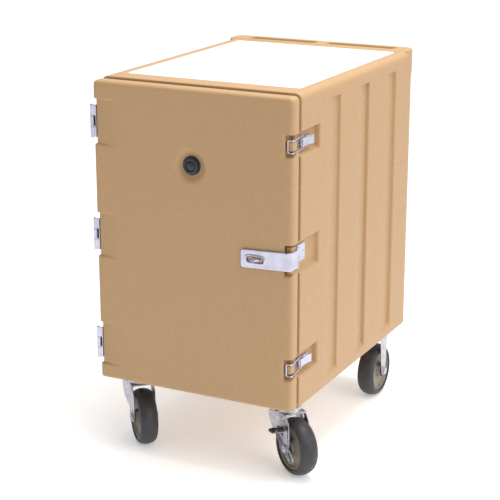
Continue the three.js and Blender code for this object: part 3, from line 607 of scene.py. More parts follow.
def vent_dish(x, y, z):
    """A shallow bowl with a flat seat, and the vent's bore."""
    r = np.hypot(x, z - VENT_Z)
    floor = DOOR_FRONT + 9
    outline = [(0, -420), (55, -420), (46.5, DOOR_FRONT - 2.5), (29, floor), (0, floor)]
    bowl = polygon(r, y, outline)
    return smooth_min(bowl, r - 13.3, 1)


def door():
    block = Block((-HALF_WIDTH, DOOR_FRONT, DOOR_LOW), (HALF_WIDTH, PLUG_BACK, DOOR_HIGH), 1.6)
    block.add(door_outside)
    block.add(door_plug, 3)
    for z in HINGES.values():
        low = (-HALF_WIDTH, DOOR_FRONT, z - NOTCH_HALF)
        high = (NOTCH_X + FADE, DOOR_BACK, z + NOTCH_HALF)
        block.cut(hinge_notch(z), 1.5, low, high)
    pockets = [(z, LATCH_POCKET - 1.5, KEEPER_HALF) for z in LATCHES.values()]
    pockets.append((HARDWARE_Z, HASP_POCKET - 0.5, POST_HALF))
    for z, half, lug in pockets:
        low = (DOOR_POCKET_FLOOR, DOOR_FRONT, z - half)
        block.cut(keeper_pocket(z, half, lug), 2.5, low, (HALF_WIDTH, DOOR_BACK, z + half))
    reach = 46
    low, high = (-reach, DOOR_FRONT, VENT_Z - reach), (reach, PLUG_BACK, VENT_Z + reach)
    block.cut(vent_dish, 4, low, high)

    def groove(x, y, z):
        ring = np.abs(rect(x, z, (-247, 247), (251, 955), 15)) - 5.4
        return prism(ring, y, (DOOR_BACK - 5, DOOR_BACK + 30))

    block.cut(groove, 1.5, (-HALF_WIDTH, DOOR_BACK - 5, 240), (HALF_WIDTH, PLUG_BACK, 966))
    piece("door_skin", block.mesh("door_skin"), TAN, "door", "door_shell")


def gasket():
    ends = [span("door_gasket", axis) for axis in "xyz"]
    block = Block(*zip(*ends), 1.2)
    (x0, x1), (y0, y1), (z0, z1) = ends

    def seal(x, y, z):
        across = rect(x, z, (x0 + 5, x1 - 5), (z0 + 5, z1 - 5), 15)
        body = corner(np.abs(across) - 4.7, between(y, (y0, y1 - 0.8)), 1)
        lips = circle(np.abs(across), y, (2.4, y1 - 1.7), 1.7)
        return smooth_min(body, lips, 1)

    block.add(seal)
    piece("door_seal", block.mesh("door_seal"), RUBBER, "door", "door_gasket")


def foam_plug(name, node, body, axis, inward):
    """A plug pressed into a foam port, with a domed head and a rim."""
    low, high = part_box(node)
    middle = [(a + b) / 2 / MM for a, b in zip(low, high)]
    across = [i for i in range(3) if i != axis]
    face = (low[axis] if inward > 0 else high[axis]) / MM
    block = Block([v / MM for v in low], [v / MM for v in high], 0.7)

    def plug(*place):
        r = np.hypot(place[across[0]] - middle[across[0]], place[across[1]] - middle[across[1]])
        deep = (place[axis] - face) * inward
        head = corner(r - 15.7, np.maximum(0.2 + r * r * 0.004 - deep, deep - 2.1), 0.8)
        well = np.hypot(r - 9, deep - 0.2) - 1
        shank = corner(r - 12, np.maximum(1 - deep, deep - 6), 0.5)
        return smooth_max(smooth_min(head, shank, 0.5), -well, 0.5)

    block.add(plug)
    piece(name, block.mesh(name), TAN, body, node)


# ---- Rivets and fittings ----


def rivets(face, out, places, plate):
    """Domed heads on a leaf that faces along x, and the backing plate that they go through to."""

    def shape(x, y, z):
        high = (x - face) * out
        far = 1e3
        for y0, z0 in places:
            r = np.hypot(y - y0, z - z0)
            dome = np.maximum(np.hypot(r, high + 3.4) - 5.3, -high)
            shank = np.maximum(r - 2, np.maximum(high - 1, -9 - high))
            far = np.minimum(far, np.minimum(np.maximum(dome, r - 4), shank))
        return np.minimum(far, brick(x, y, z, *plate, 0.8))

    return shape


def four(y, z, dy, dz):
    return [(y + a * dy, z + b * dz) for a in (-1, 1) for b in (-1, 1)]


def fitting(stem, z, parts):
    """The pieces of one hinge or latch, raised to its height."""
    for kind, mesh, body in parts:
        node = f"{stem}_{kind}"
        piece(f"{node}_fine", placed(mesh, (0, 0, z)), STEEL, body, node)


# ---- Hinges ----

PIN_X, PIN_Y, BARREL, PIN = -285.5, -386.5, 4.5, 2.4
HINGE_HALF, KNUCKLE_HALF, LEAF_HALF, PIN_HALF = 42, 14, 34, 43.2
HINGE_RIVETS = four(-318, 0, 11, 22)


def barrel(x, y, z, ends):
    return prism(circle(x, y, (PIN_X, PIN_Y), BARREL), z, ends, 0.5)


def pin_hole(x, y, z):
    return circle(x, y, (PIN_X, PIN_Y), PIN + 0.3)


def hinge_body_leaf():
    block = Block((-290, -391, -LEAF_HALF), (-280, -298, LEAF_HALF), 0.6)

    def leaf(x, y, z):
        plan = rect(y, z, (-378.5, -298), (-LEAF_HALF, LEAF_HALF), 5)
        neck = rect(y, z, (PIN_Y, -372), (-KNUCKLE_HALF, KNUCKLE_HALF), 1)
        return prism(smooth_min(plan, neck, 4), x, (-282.3, -280.3), 0.6)

    block.add(leaf)
    block.add(lambda x, y, z: barrel(x, y, z, (-KNUCKLE_HALF, KNUCKLE_HALF)), 1.5)
    block.cut(pin_hole)
    for y, z in HINGE_RIVETS:
        block.cut(lambda x, y, z, c=(y, z): circle(y, z, c, 2.3))
    return block.mesh("hinge_body_leaf")


def hinge_door_leaf():
    block = Block((-290, -391, -HINGE_HALF), (-268, -352, HINGE_HALF), 0.6)

    def leaf(x, y, z):
        plan = rect(y, z, (-387.5, -352), (-HINGE_HALF, HINGE_HALF), 4)
        plate = prism(plan, x, (-274.8, -272.8), 0.6)
        return np.minimum(plate, rivets(-274.8, -1, [(-366, -24), (-366, 24)],
            ((-270.2, -268.2), (-374, -360), (-32, 32)))(x, y, z))

    block.add(leaf)
    for ends in ((-HINGE_HALF, -KNUCKLE_HALF - 0.5), (KNUCKLE_HALF + 0.5, HINGE_HALF)):
        block.add(lambda x, y, z, e=ends: barrel(x, y, z, e), 0.6)
        web = lambda x, y, z, e=ends: brick(x, y, z, (PIN_X, -273.5), (-387.7, -385.3), e, 0.5)
        block.add(web, 1.2)
    block.cut(pin_hole)
    return block.mesh("hinge_door_leaf")


def hinge_pin(x=PIN_X, y=PIN_Y, r=PIN, half=PIN_HALF):
    block = Block((x - r - 1, y - r - 1, -half), (x + r + 1, y + r + 1, half), 0.4)
    block.add(lambda a, b, c: prism(circle(a, b, (x, y), r), c, (-half, half), 0.3))
    for side in (-1, 1):
        ends = sorted((side * half, side * (half - 1.2)))
        block.add(lambda a, b, c, e=ends: prism(circle(a, b, (x, y), r + 1), c, e, 0.55), 0.3)
    return block.mesh("hinge_pin")


def hinges():
    leaf, door_leaf, pin = hinge_body_leaf(), hinge_door_leaf(), hinge_pin()
    plate = ((-276.7, -274.7), (-335, -301), (-28, 28))
    block = Block((-285, -335, -28), (-274, -301, 28), 0.5)
    block.add(rivets(-282.3, -1, HINGE_RIVETS, plate))
    heads = block.mesh("hinge_rivets")
    for name, z in HINGES.items():
        parts = [("body_leaf", leaf, "cabinet"), ("rivets", heads, "cabinet")]
        parts += [("pin", pin, "cabinet"), ("door_leaf", door_leaf, "door")]
        fitting(f"{name}_hinge", z, parts)


# ---- Latches ----

LATCH_X, LATCH_Y = 270.5, -326
BAIL_X, BAIL_Y, WIRE = LATCH_X - 0.2, LATCH_Y + 12, 1.9
LEVER_HALF, BAIL_HALF = 10.5, 15.5
LATCH_RIVETS = four(-288, 0, 16, 4.6)


def latch_base():
    block = Block((263, -337, -21.5), (274, -261, 21.5), 0.5)

    def base(x, y, z):
        plate = prism(rect(y, z, (-336, -262), (-9.5, 9.5), 4), x, (264.3, 266.3), 0.5)
        foot = brick(x, y, z, (265, LATCH_X), (LATCH_Y - 2.7, LATCH_Y + 2.7), (-8, 8), 0.4)
        eye = prism(circle(x, y, (LATCH_X, LATCH_Y), 2.7), z, (-8, 8), 0.4)
        ears = np.maximum(np.minimum(foot, eye), 6 - np.abs(z))
        return smooth_min(plate, ears, 1)

    block.add(base)
    for centre in LATCH_RIVETS:
        block.cut(lambda x, y, z, c=centre: circle(y, z, c, 2.3))
    block.add(lambda x, y, z: prism(circle(x, y, (LATCH_X, LATCH_Y), 1.7), z, (-11.3, 11.3), 0.4))
    return block.mesh("latch_base")


def latch_lever():
    block = Block((266, -331, -LEVER_HALF), (282, -271, LEVER_HALF), 0.45)
    x0, y0 = LATCH_X, LATCH_Y
    middle = eased([(x0 + 3.9, y0 + 1.9), (x0 + 3.9, y0 + 33), (x0 + 8.6, y0 + 52.2)], 5)
    cheek = [(x0 - 2.4, y0 + 1), (x0 - 1.6, y0 - 2), (x0 + 1.8, y0 - 2.4), (x0 + 3.4, y0)]
    cheek += [(x0 + 3.4, y0 + 30), (x0, y0 + 15.2), (x0 - 2.6, y0 + 13)]

    def lid(x, y, z):
        strip = 1e3
        for a, b in zip(middle, middle[1:]):
            if (a != b).any():
                strip = np.minimum(strip, bar(x, y, a, b, 0.9))
        shape = prism(strip, z, (-LEVER_HALF, LEVER_HALF), 0.5)
        curl = prism(circle(x, y, (x0 + 9, y0 + 52.4), 1.5), z, (-LEVER_HALF, LEVER_HALF), 0.7)
        return smooth_min(shape, curl, 1)

    block.add(lid)
    sides = lambda x, y, z: corner(polygon(x, y, cheek, 0.7), np.abs(np.abs(z) - 9.5) - 1, 0.4)
    block.add(sides, 1.2)
    panel = lambda x, y, z: prism(rect(y, z, (y0 + 5, y0 + 25), (-6, 6), 2.5), x, (x0 + 4.3, x0 + 9))
    block.cut(panel, 0.6)
    groove = lambda x, y, z: circle(x, y, (x0 + 5.3, y0 + 32.5), 1.3)
    block.cut(groove, 0.6)
    block.cut(lambda x, y, z: circle(x, y, (x0, y0), 2))
    block.cut(lambda x, y, z: circle(x, y, (BAIL_X, BAIL_Y), WIRE + 0.3))
    return block.mesh("latch_lever")


def latch_bail():
    block = Block((260, -387, -BAIL_HALF - 2), (280, -311, BAIL_HALF + 2), 0.5)
    half = [(BAIL_X, BAIL_Y, 8.9), (BAIL_X, BAIL_Y, BAIL_HALF), (277.5, -384.4, BAIL_HALF)]
    half += [(263, -384.4, BAIL_HALF)]
    other = [(x, y, -z) for x, y, z in reversed(half)]
    block.add(lambda x, y, z: wire(x, y, z, eased(half + other, 3.5, steps=4), WIRE))
    return block.mesh("latch_bail")


def latches():
    base, lever, bail = latch_base(), latch_lever(), latch_bail()
    block = Block((256, -310, -11), (269, -266, 11), 0.5)
    block.add(rivets(266.3, 1, LATCH_RIVETS, ((257.7, 259.7), (-310, -266), (-10.6, 10.6))))
    heads = block.mesh("latch_rivets")
    for name, z in LATCHES.items():
        latch = f"{name}_latch"
        parts = [("base", base, "cabinet"), ("rivets", heads, "cabinet")]
        parts += [("lever", lever, f"{latch}_lever"), ("bail", bail, f"{latch}_bail")]
        fitting(latch, z, parts)


# ---- Hasp ----

HASP_X, HASP_Y, HASP_R = 274.3, -352, 4
HASP_LOW, HASP_HIGH = 572, 626
STRAP_FRONT, STRAP_END, STRAP_HALF, STRAP_BEND, STRAP_DROOP = -396, 142, 23.5, 10, 5
STAPLE_X, STAPLE_Z = 181, 592
HASP_RIVETS = [(-331, 592), (-331, 616), (-307, 604)]
THIRD = (HASP_HIGH - HASP_LOW) / 3
MIDDLE = (HASP_LOW + THIRD, HASP_HIGH - THIRD)


def hasp_barrel(x, y, z, ends):
    return prism(circle(x, y, (HASP_X, HASP_Y), HASP_R), z, ends, 0.4)


def hasp_leaf():
    block = Block((267, -357, HASP_LOW), (279, -296, HASP_HIGH), 0.5)

    def leaf(x, y, z):
        plan = rect(y, z, (-345, -297), (582, HASP_HIGH), 5)
        neck = rect(y, z, (HASP_Y - 2, -340), MIDDLE, 0.5)
        return prism(smooth_min(plan, neck, 2), x, (268.3, 270.3), 0.5)

    block.add(leaf)
    block.add(lambda x, y, z: hasp_barrel(x, y, z, MIDDLE), 1.5)
    block.cut(lambda x, y, z: circle(x, y, (HASP_X, HASP_Y), 2.5))
    for centre in HASP_RIVETS:
        block.cut(lambda x, y, z, c=centre: circle(y, z, c, 2.3))
    mesh = block.mesh("hasp_leaf")
    piece("hasp_leaf_fine", mesh, STEEL, "cabinet", "hasp_body_leaf")
    block = Block((260, -337, 586), (274, -301, 622), 0.5)
    block.add(rivets(270.3, 1, HASP_RIVETS, ((261.7, 263.7), (-337, -301), (586, 622))))
    mesh = block.mesh("hasp_rivets")
    piece("hasp_rivets_fine", mesh, STEEL, "cabinet", "hasp_rivets")
    shaft = hinge_pin(HASP_X, HASP_Y, 2.2, 28.5)
    mesh = placed(shaft, (0, 0, (HASP_LOW + HASP_HIGH) / 2))
    piece("hasp_pin_fine", mesh, STEEL, "cabinet", "hasp_pin")


def hasp_strap():
    block = Block((140, -399, 566), (279.5, -347, 622), 0.7)
    outer, z0 = HASP_X + HASP_R, HARDWARE_Z
    bend_x, bend_y = outer - STRAP_BEND, STRAP_FRONT + STRAP_BEND

    def strap(x, y, z):
        round_part = np.hypot(np.maximum(x - bend_x, 0), np.maximum(bend_y - y, 0)) - STRAP_BEND
        skin = np.where((x > bend_x) & (y < bend_y), round_part, np.maximum(x - outer, STRAP_FRONT - y))
        sheet = np.abs(skin + 1) - 1
        drop = (outer - x) / (outer - STRAP_END) * STRAP_DROOP
        far_end = np.hypot(np.maximum(STRAP_END + 8 - x, 0), np.maximum(np.abs(z - z0 + drop)
            - STRAP_HALF + 8, 0)) - 8
        edge = np.where(x < STRAP_END + 8, far_end, np.abs(z - z0 + drop) - STRAP_HALF)
        edge = np.maximum(edge, STRAP_END - x)
        return np.maximum(corner(sheet, edge, 0.6), y - HASP_Y)

    block.add(strap)
    slot = lambda x, z: bar(x, z, (STAPLE_X - 17, STAPLE_Z), (STAPLE_X + 17, STAPLE_Z), 7)
    rim = lambda x, y, z: np.hypot(slot(x, z) - 2.6, y - STRAP_FRONT - 0.7) - 2
    low, high = (150, -399, 578), (212, -392, 606)
    block.add(rim, 1.5, low, high)
    block.cut(lambda x, y, z: slot(x, z), 1.2, low, high)
    for ends in ((HASP_LOW, MIDDLE[0] - 0.3), (MIDDLE[1] + 0.3, HASP_HIGH)):
        low, high = (270, -357, ends[0]), (279, -347, ends[1])
        block.add(lambda x, y, z, e=ends: hasp_barrel(x, y, z, e), 1, low, high)
    room = lambda x, y, z: prism(circle(x, y, (HASP_X, HASP_Y), HASP_R + 0.5), z,
        (MIDDLE[0] - 0.3, MIDDLE[1] + 0.3))
    block.cut(room, 0, (268, -358, MIDDLE[0]), (279.5, -347, MIDDLE[1]))
    low, high = (268, -358, HASP_LOW), (279.5, -347, HASP_HIGH)
    block.cut(lambda x, y, z: circle(x, y, (HASP_X, HASP_Y), 2.5), 0, low, high)
    piece("hasp_strap_fine", block.mesh("hasp_strap"), STEEL, "hasp_strap", "hasp_strap")


def hasp_staple():
    block = Block((158, -410, 579), (204, -374, 605), 0.6)
    base = DOOR_FRONT - 1.5

    def staple(x, y, z):
        foot = circle(np.abs(x - STAPLE_X), z, (13, STAPLE_Z), 5.5)
        collars = prism(foot, y, (-393.3, -391.3), 0.5)
        angle = np.linspace(0, math.pi, 17)
        line = [(STAPLE_X + 13 * math.cos(a), base - 13.6 * math.sin(a), STAPLE_Z) for a in angle]
        line = [(194, -378, STAPLE_Z)] + line + [(168, -378, STAPLE_Z)]
        return smooth_min(collars, wire(x, y, z, line, 2.6), 1)

    block.add(staple)
    piece("hasp_staple_fine", block.mesh("hasp_staple"), STEEL, "door", "hasp_staple")


# ---- Vent ----


def vent():
    front = DOOR_FRONT + 6.4
    block = Block((-22, front - 9, VENT_Z - 22), (22, front + 25, VENT_Z + 22), 0.5)

    def cap(x, y, z):
        r, angle = np.hypot(x, z - VENT_Z), np.arctan2(z - VENT_Z, x)
        teeth = 0.45 * np.cos(angle * 44)
        skirt = corner(r - 20.6 + teeth, between(y, (front - 6.6, front)), 1.2)
        ring = circle(r, y, (16.2, front - 5.4), 3)
        disc = np.maximum(np.hypot(r, y - front - 34) - 41.6, r - 12)
        body = smooth_min(skirt, ring, 1.2)
        body = smooth_max(body, -np.maximum(r - 13.4, y - front + 4.4), 1)
        body = smooth_min(body, disc, 0.8)
        stem = prism(r - 8.7, y, (front - 2, front + 24), 0.6)
        return np.minimum(body, stem)

    block.add(cap)
    piece("vent_cap_fine", block.mesh("vent_cap"), BLACK, "vent_cap", "vent_cap")
    floor_y = DOOR_FRONT + 8.7
    sleeve = [(9, floor_y - 1.9), (25, floor_y - 1.9), (25, floor_y), (13, floor_y)]
    sleeve += [(13, PLUG_BACK), (9, PLUG_BACK)]
    mesh = placed(turned("vent_sleeve", eased(sleeve, 0.6, True, 4)), (0, 0, VENT_Z))
    piece("vent_sleeve_fine", mesh, BLACK, "door", "vent_sleeve")


# ---- Casters ----
# Each is made in its own frame: Z up from the floor, X the way it trails and Y along its axle.

WHEEL_R, CORE_R, AXLE_R = 76, 58, 8
TRAIL, CROWN, LEG_OUT, PLATE_TOP = 40, 160, 31, 199.7
CASTER_X, FRONT_CASTER_Y, REAR_CASTER_Y = 224, -283, 297
FRONT_LEFT_TURN, FRONT_RIGHT_TURN = -46, -34  # degrees
FORK_FLARE = 0.3  # how far the leading half of a fork's leg bends outwards


def wheel(trail):
    """Tyre, core and hub seals."""
    turn = np.linspace(-math.pi / 2, math.pi / 2, 33)
    bulge = [(59.5 + 16.5 * math.cos(t) ** 0.7, 24.8 * math.copysign(abs(math.sin(t)) ** 1.15, t))
        for t in turn[1:-1]]
    tyre = [(CORE_R + 0.3, -22), (59.5, -24.6)] + bulge + [(59.5, 24.6), (CORE_R + 0.3, 22)]
    half = [(AXLE_R + 0.3, 26), (19.5, 26), (21.5, 15), (27, 11.5), (42, 12.5), (50.5, 15)]
    half += [(53.2, 21.2), (57.8, 21.2)]
    core = eased(half + [(r, -y) for r, y in reversed(half)], 1.6, True, 5)
    seal = [(13, 26.6), (18.6, 26.6), (18.6, 25), (13, 25)]
    seals = []
    for side in (-1, 1):
        ring = eased([(r, side * y) for r, y in seal], 0.5, True, 4)
        seals.append(turned("hub_seal", ring if side > 0 else ring[::-1]))
    at = (trail, 0, WHEEL_R)
    return [placed(m, at) for m in (turned("tyre", tyre, 144), turned("core", core, 120), *seals)]


def swivel_fork():
    t = TRAIL
    outline = [(-34, CROWN + 3), (-34, 150), (-24, 118), (t - 12, 68), (t, 62), (t + 12, 70)]
    outline += [(t + 11, 140), (34, CROWN + 3)]
    outline = [tuple(p) for p in eased(outline, 8, True, 4)]
    block = Block((-36, -44, 60), (56, 44, 190), 1.0)

    def legs(x, y, z):
        fold = smooth_max(4 - x, 0 * x, 2) * FORK_FLARE
        plate = (np.abs(np.abs(y) - 29.5 - fold) - 1.5) * 0.95
        return corner(polygon(x, z, outline, 0), plate, 0.8)

    def crown(x, y, z):
        return brick(x, y, z, (-34, 34), (-LEG_OUT, LEG_OUT), (CROWN, CROWN + 5), 2)

    def race(x, y, z):
        r = np.hypot(x, y)
        lower = prism(r - 32, z, (CROWN + 3, 178), 2)
        upper = prism(r - 31, z, (180.5, 189.6), 2)
        return np.minimum(np.minimum(lower, upper), prism(r - 27, z, (CROWN, 188)))

    block.add(legs)
    block.add(crown, 5)
    block.add(race, 1)
    block.cut(lambda x, y, z: prism(circle(x, y, (0, 0), 7.3), z, (CROWN - 5, 200)))
    block.cut(lambda x, y, z: circle(x, z, (t, WHEEL_R), AXLE_R + 0.3))
    block.cut(lambda x, y, z: bar(x, z, (20, 155), (24, 146), 3.2), 1)
    block.cut(lambda x, y, z: bar(x, z, (t - 3, 94), (t + 2, 94), 2.6), 1)
    return block.mesh("swivel_fork")


def rigid_fork():
    top = 194.4
    outline = [(-25, top), (-23, 160), (-14.5, 78), (-9, 64), (9, 64), (14.5, 78), (23, 160), (25, top)]
    outline = [tuple(p) for p in eased(outline, 7, True, 4)]
    block = Block((-27, -LEG_OUT - 2, 60), (27, LEG_OUT + 2, top), 1.0)

    def legs(x, y, z):
        rib = 1.4 * np.clip(1 - np.abs(x) / 7, 0, 1) * np.clip((z - 96) / 10, 0, 1)
        plate = np.abs(np.abs(y) - 29.5 - rib) - 1.5
        return corner(polygon(x, z, outline, 0), plate, 0.8)

    block.add(legs)
    block.add(lambda x, y, z: brick(x, y, z, (-24, 24), (-LEG_OUT, LEG_OUT), (top - 4, top), 1), 6)
    block.cut(lambda x, y, z: circle(x, z, (0, WHEEL_R), AXLE_R + 0.3))
    return block.mesh("rigid_fork")


def axle(trail, room):
    low = (trail - 15, -LEG_OUT - room - 9, WHEEL_R - 15)
    block = Block(low, (trail + 15, LEG_OUT + 9, WHEEL_R + 15), 0.7)
    at = (trail, WHEEL_R)

    def shape(x, y, z):
        r = circle(x, z, at, 0)
        far = prism(r - AXLE_R, y, (-LEG_OUT - room - 6, LEG_OUT + 6))
        for side, face in ((-1, LEG_OUT + room + 0.3), (1, LEG_OUT + 0.3)):
            out = y * side - face
            washer = prism(r - 13.6, out, (0, 1.4), 0.5)
            nut = prism(hexagon(x, z, at, 9.8, 0.3), out, (1, 6.2), 0.4)
            nut = np.maximum(nut, np.hypot(r, out + 7) - 16.4)
            tip = np.maximum(np.hypot(r, out - 2.2) - 6, 1 - out)
            far = np.minimum(far, np.minimum(washer, smooth_min(nut, tip, 0.6)))
        return far

    block.add(shape)
    return block.mesh("axle")


def top_plate(swivel):
    low = CROWN - 8 if swivel else PLATE_TOP - 10
    block = Block((-50, -42, low), (50, 42, PLATE_TOP), 1.0)
    block.add(lambda x, y, z: prism(rect(x, y, (-50, 50), (-42, 42), 8), z, (194.7, PLATE_TOP), 0.8))

    def bolts(x, y, z):
        head = prism(hexagon(np.abs(x), np.abs(y), (39, 31), 6.2), z, (189.7, 195), 0.8)
        washer = prism(circle(np.abs(x), np.abs(y), (39, 31), 8), z, (193.3, 195), 0.4)
        return np.minimum(head, washer)

    block.add(bolts)
    if swivel:
        block.add(lambda x, y, z: prism(circle(x, y, (0, 0), 28), z, (190, 196), 1))
        block.add(lambda x, y, z: prism(circle(x, y, (0, 0), 7), z, (CROWN - 8, 198), 0.5))
        block.add(lambda x, y, z: prism(hexagon(x, y, (0, 0), 9.5), z, (CROWN - 8, CROWN - 0.3), 0.8))
    return block.mesh("top_plate")


def brake():
    """The brake lever, which hangs on the axle outside the fork, and its two pedal pads."""
    t, r, near = TRAIL, WHEEL_R, -LEG_OUT - 0.3
    block = Block((t - 52, near - 28, r - 34), (t + 44, near + 1, r + 66), 0.8)
    arm_flat = lambda x, z: bar(x, z, (t - 38, r + 34), (t + 30, r - 20), 9)

    def lever(x, y, z):
        arm = corner(arm_flat(x, z), between(y, (near - 2.7, near)), 0.7)
        turned_edge = corner(np.abs(arm_flat(x, z) + 1.2) - 1.2, between(y, (near - 8, near)), 0.6)
        lower = (z - r) * 68 + (x - t) * 54
        turned_edge = np.maximum(turned_edge, lower / 87)
        upper = corner(bar(x, z, (t, r), (t - 4, r + 44), 10), between(y, (near - 2.7, near)), 0.7)
        far = smooth_min(smooth_min(arm, turned_edge, 1), upper, 2)
        for u, h in ((t - 38, r + 36), (t - 4, r + 50)):
            step = brick(x, y, z, (u - 9, u + 9), (near - 26, near - 1), (h - 1.5, h + 1.5), 0.8)
            far = smooth_min(far, step, 3)
        return far

    block.add(lever)
    block.cut(lambda x, y, z: circle(x, z, (t, r), AXLE_R + 0.3))
    slot = lambda x, y, z: bar(x, z, (t + 14, r - 8), (t + 26, r - 17), 3.4)
    block.cut(slot, 0.8)
    meshes = [block.mesh("brake_lever")]
    for u, h, r0 in ((t - 38, r + 36, 4), (t - 4, r + 50, 9.5)):
        pad = Block((u - 11, near - 28, h + 1), (u + 11, near - 5, h + 8), 0.6)

        def shape(x, y, z, u=u, h=h, r0=r0):
            plan = rect(x, y, (u - 10, u + 10), (near - 27, near - 6), r0)
            ribs = 0.5 * np.cos((y - near) * 1.6)
            return prism(plan, z, (h + 1.8, h + 7), 1.6) + np.where(z > h + 4, ribs * 0.8, 0)

        pad.add(shape)
        meshes.append(pad.mesh("brake_pad"))
    return meshes


def casters():
    front_wheel, rear_wheel = wheel(TRAIL), wheel(0)
    fork, rear_fork = swivel_fork(), rigid_fork()
    plates = {True: top_plate(True), False: top_plate(False)}
    axles = {True: axle(TRAIL, 3.3), False: axle(TRAIL, 0)}
    rear_axle = axle(0, 0)
    set_out = (
        ("front_left", -CASTER_X, FRONT_CASTER_Y, FRONT_LEFT_TURN, True),
        ("front_right", CASTER_X, FRONT_CASTER_Y, FRONT_RIGHT_TURN, True),
        ("rear_left", -CASTER_X, REAR_CASTER_Y, 90, False),
        ("rear_right", CASTER_X, REAR_CASTER_Y, 90, False),
    )
    for name, x, y, degrees, swivel in set_out:
        turn = math.radians(degrees)
        braked = name == "front_right"
        holder = f"{name}_fork" if swivel else "cabinet"
        wheel_body = f"{name}_wheel"
        put = lambda mesh, angle=turn: placed(mesh, (x, y, 0), angle)
        plate = put(plates[swivel], math.pi / 2)
        piece(f"{name}_plate_fine", plate, ZINC, "cabinet", f"{name}_caster_plate")
        legs = put(fork if swivel else rear_fork)
        piece(f"{name}_fork_fine", legs, ZINC, holder, f"{name}_caster_fork")
        bolt = put(axles[braked] if swivel else rear_axle)
        piece(f"{name}_axle_fine", bolt, ZINC, holder, f"{name}_caster_axle")
        tyre, core, *seals = front_wheel if swivel else rear_wheel
        piece(f"{name}_tyre_fine", put(tyre), TYRE, wheel_body, f"{name}_wheel_tyre")
        piece(f"{name}_core_fine", put(core), TAUPE, wheel_body, f"{name}_wheel_core")
        for side, seal in zip(("near", "far"), seals):
            piece(f"{name}_{side}_seal", put(seal), RUBBER, wheel_body)
        if braked:
            lever, lock, release = brake()
            piece("brake_lever_fine", put(lever), ZINC, "brake", "brake_lever")
            piece("brake_lock_pad_fine", put(lock), RUBBER, "brake", "brake_lock_pad")
            piece("brake_release_pad_fine", put(release), RUBBER, "brake", "brake_release_pad")


def foam_filling():
    """The foam between the cabinet's two skins, and the foam in the door."""
    block = Block((-FOAM_HALF, FRONT, BOTTOM), (FOAM_HALF, BACK, TOP), 4)
    ends = ((-FOAM_HALF, FOAM_HALF), (FRONT + 12, BACK - 14), (BOTTOM + 12, TOP - 14))
    block.add(lambda x, y, z: brick(x, y, z, *ends, 8))
    half = CAVITY_HALF + 4
    hollow = ((-half, half), (FRONT - 50, CAVITY_BACK + 4), (CAVITY_LOW - 4, CAVITY_HIGH + 4))
    block.cut(lambda x, y, z: brick(x, y, z, *hollow, 8))
    piece("cabinet_foam_fine", block.mesh("cabinet_foam_fine"), FOAM, "cabinet", "cabinet_foam")

    ends = ((-DOOR_FOAM_HALF, DOOR_FOAM_HALF), (DOOR_FRONT + 12, DOOR_FOAM_BACK))
    ends += ((DOOR_LOW + 14, DOOR_HIGH - 14),)
    block = Block(*zip(*ends), 3)
    block.add(lambda x, y, z: brick(x, y, z, *ends, 6))
    block.cut(lambda x, y, z: np.hypot(x, z - VENT_Z) - 34)
    piece("door_foam_fine", block.mesh("door_foam_fine"), FOAM, "door", "door_foam")


# ---- Camera, light and floor ----
# Places are in metres, angles in degrees.

LENS, CAMERA_AT, PITCH, YAW = 106.8, (1.7415, -3.5031, 1.6519), 16.57, 26.86
WORLD_FALL, WORLD_DIM, WORLD_STRENGTH = (0.32, 0.3, 0.34), (0.13, 0.13, 0.14), 0.85
KEY_FROM, KEY_POWER, KEY_SPREAD = (0.78, -0.24, 0.6), 0.77, 40
TOP_AT, TOP_AIM, TOP_SIZE, TOP_POWER = (0.4, 0.1, 3.0), (0, 0, 0.9), (1.6, 1.6), 56


def camera():
    data = bpy.data.cameras.new("camera")
    data.lens = LENS
    made = bpy.data.objects.new("camera", data)
    made.location = CAMERA_AT
    pitch, yaw = math.radians(PITCH), math.radians(YAW)
    made.rotation_euler = (math.pi / 2 - pitch, 0, yaw)
    bpy.context.scene.collection.objects.link(made)
    bpy.context.scene.camera = made


def area_light(name, place, target, size, power):
    data = bpy.data.lights.new(name, "AREA")
    data.shape = "RECTANGLE"
    data.size, data.size_y = size
    data.energy = power
    made = bpy.data.objects.new(name, data)
    made.location = place
    made.rotation_euler = (Vector(target) - Vector(place)).to_track_quat("-Z", "Y").to_euler()
    bpy.context.scene.collection.objects.link(made)


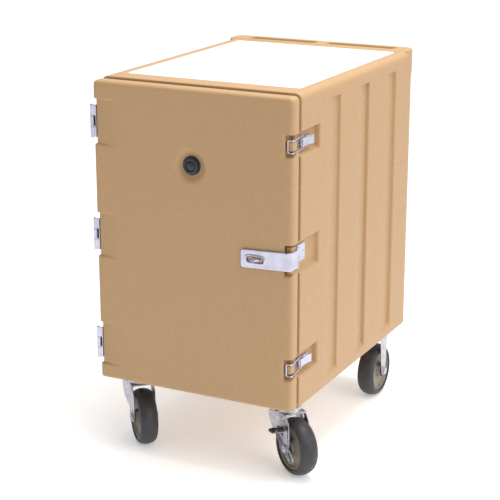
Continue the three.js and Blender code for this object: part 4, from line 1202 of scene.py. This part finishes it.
def floor():
    mesh = bpy.data.meshes.new("floor")
    reach = 30
    corners = [(-reach, -reach, 0), (reach, -reach, 0), (reach, reach, 0), (-reach, reach, 0)]
    mesh.from_pydata(corners, [], [(0, 1, 2, 3)])
    made = bpy.data.objects.new("floor", mesh)
    paint = Paint("floor", (0.96, 0.96, 0.96), 0.8)
    paint.rough(paint.noise(3, 3), 0.75, 0.9)
    paint.shader.inputs["Emission Color"].default_value = (1, 1, 1, 1)
    paint.shader.inputs["Emission Strength"].default_value = 0.32
    mesh.materials.append(paint.material)
    bpy.context.scene.collection.objects.link(made)


def studio():
    """A pale room, lighter to the right, behind and above, a broad key light and a light overhead."""
    world = bpy.data.worlds.new("studio")
    world.use_nodes = True
    nodes, links = world.node_tree.nodes, world.node_tree.links
    direction = nodes.new("ShaderNodeTexCoord").outputs["Generated"]
    dot = nodes.new("ShaderNodeVectorMath")
    dot.operation = "DOT_PRODUCT"
    dot.inputs[1].default_value = WORLD_FALL
    links.new(direction, dot.inputs[0])
    lift = nodes.new("ShaderNodeMath")
    lift.inputs[1].default_value = 0.5
    links.new(dot.outputs["Value"], lift.inputs[0])
    shade = nodes.new("ShaderNodeValToRGB")
    shade.color_ramp.elements[0].color = (*WORLD_DIM, 1)
    shade.color_ramp.elements[1].color = (1, 1, 1, 1)
    links.new(lift.outputs["Value"], shade.inputs["Fac"])
    background = nodes["Background"]
    links.new(shade.outputs["Color"], background.inputs["Color"])
    background.inputs["Strength"].default_value = WORLD_STRENGTH
    bpy.context.scene.world = world
    sun = bpy.data.lights.new("key", "SUN")
    sun.energy = KEY_POWER
    sun.angle = math.radians(KEY_SPREAD)
    key = bpy.data.objects.new("key", sun)
    key.rotation_euler = Vector(KEY_FROM).to_track_quat("Z", "Y").to_euler()
    bpy.context.scene.collection.objects.link(key)
    area_light("top", TOP_AT, TOP_AIM, TOP_SIZE, TOP_POWER)
    bpy.context.scene.view_settings.view_transform = "Standard"


camera()
studio()
floor()
foam_filling()
cabinet()
board()
door()
gasket()
foam_plug("cabinet_plug", "cabinet_foam_plug", "cabinet", 2, 1)
foam_plug("door_plug_cap", "door_foam_plug", "door", 1, -1)
hinges()
latches()
hasp_leaf()
hasp_strap()
hasp_staple()
vent()
casters()

# ---- Last update of the view layer ----

bpy.context.view_layer.update()
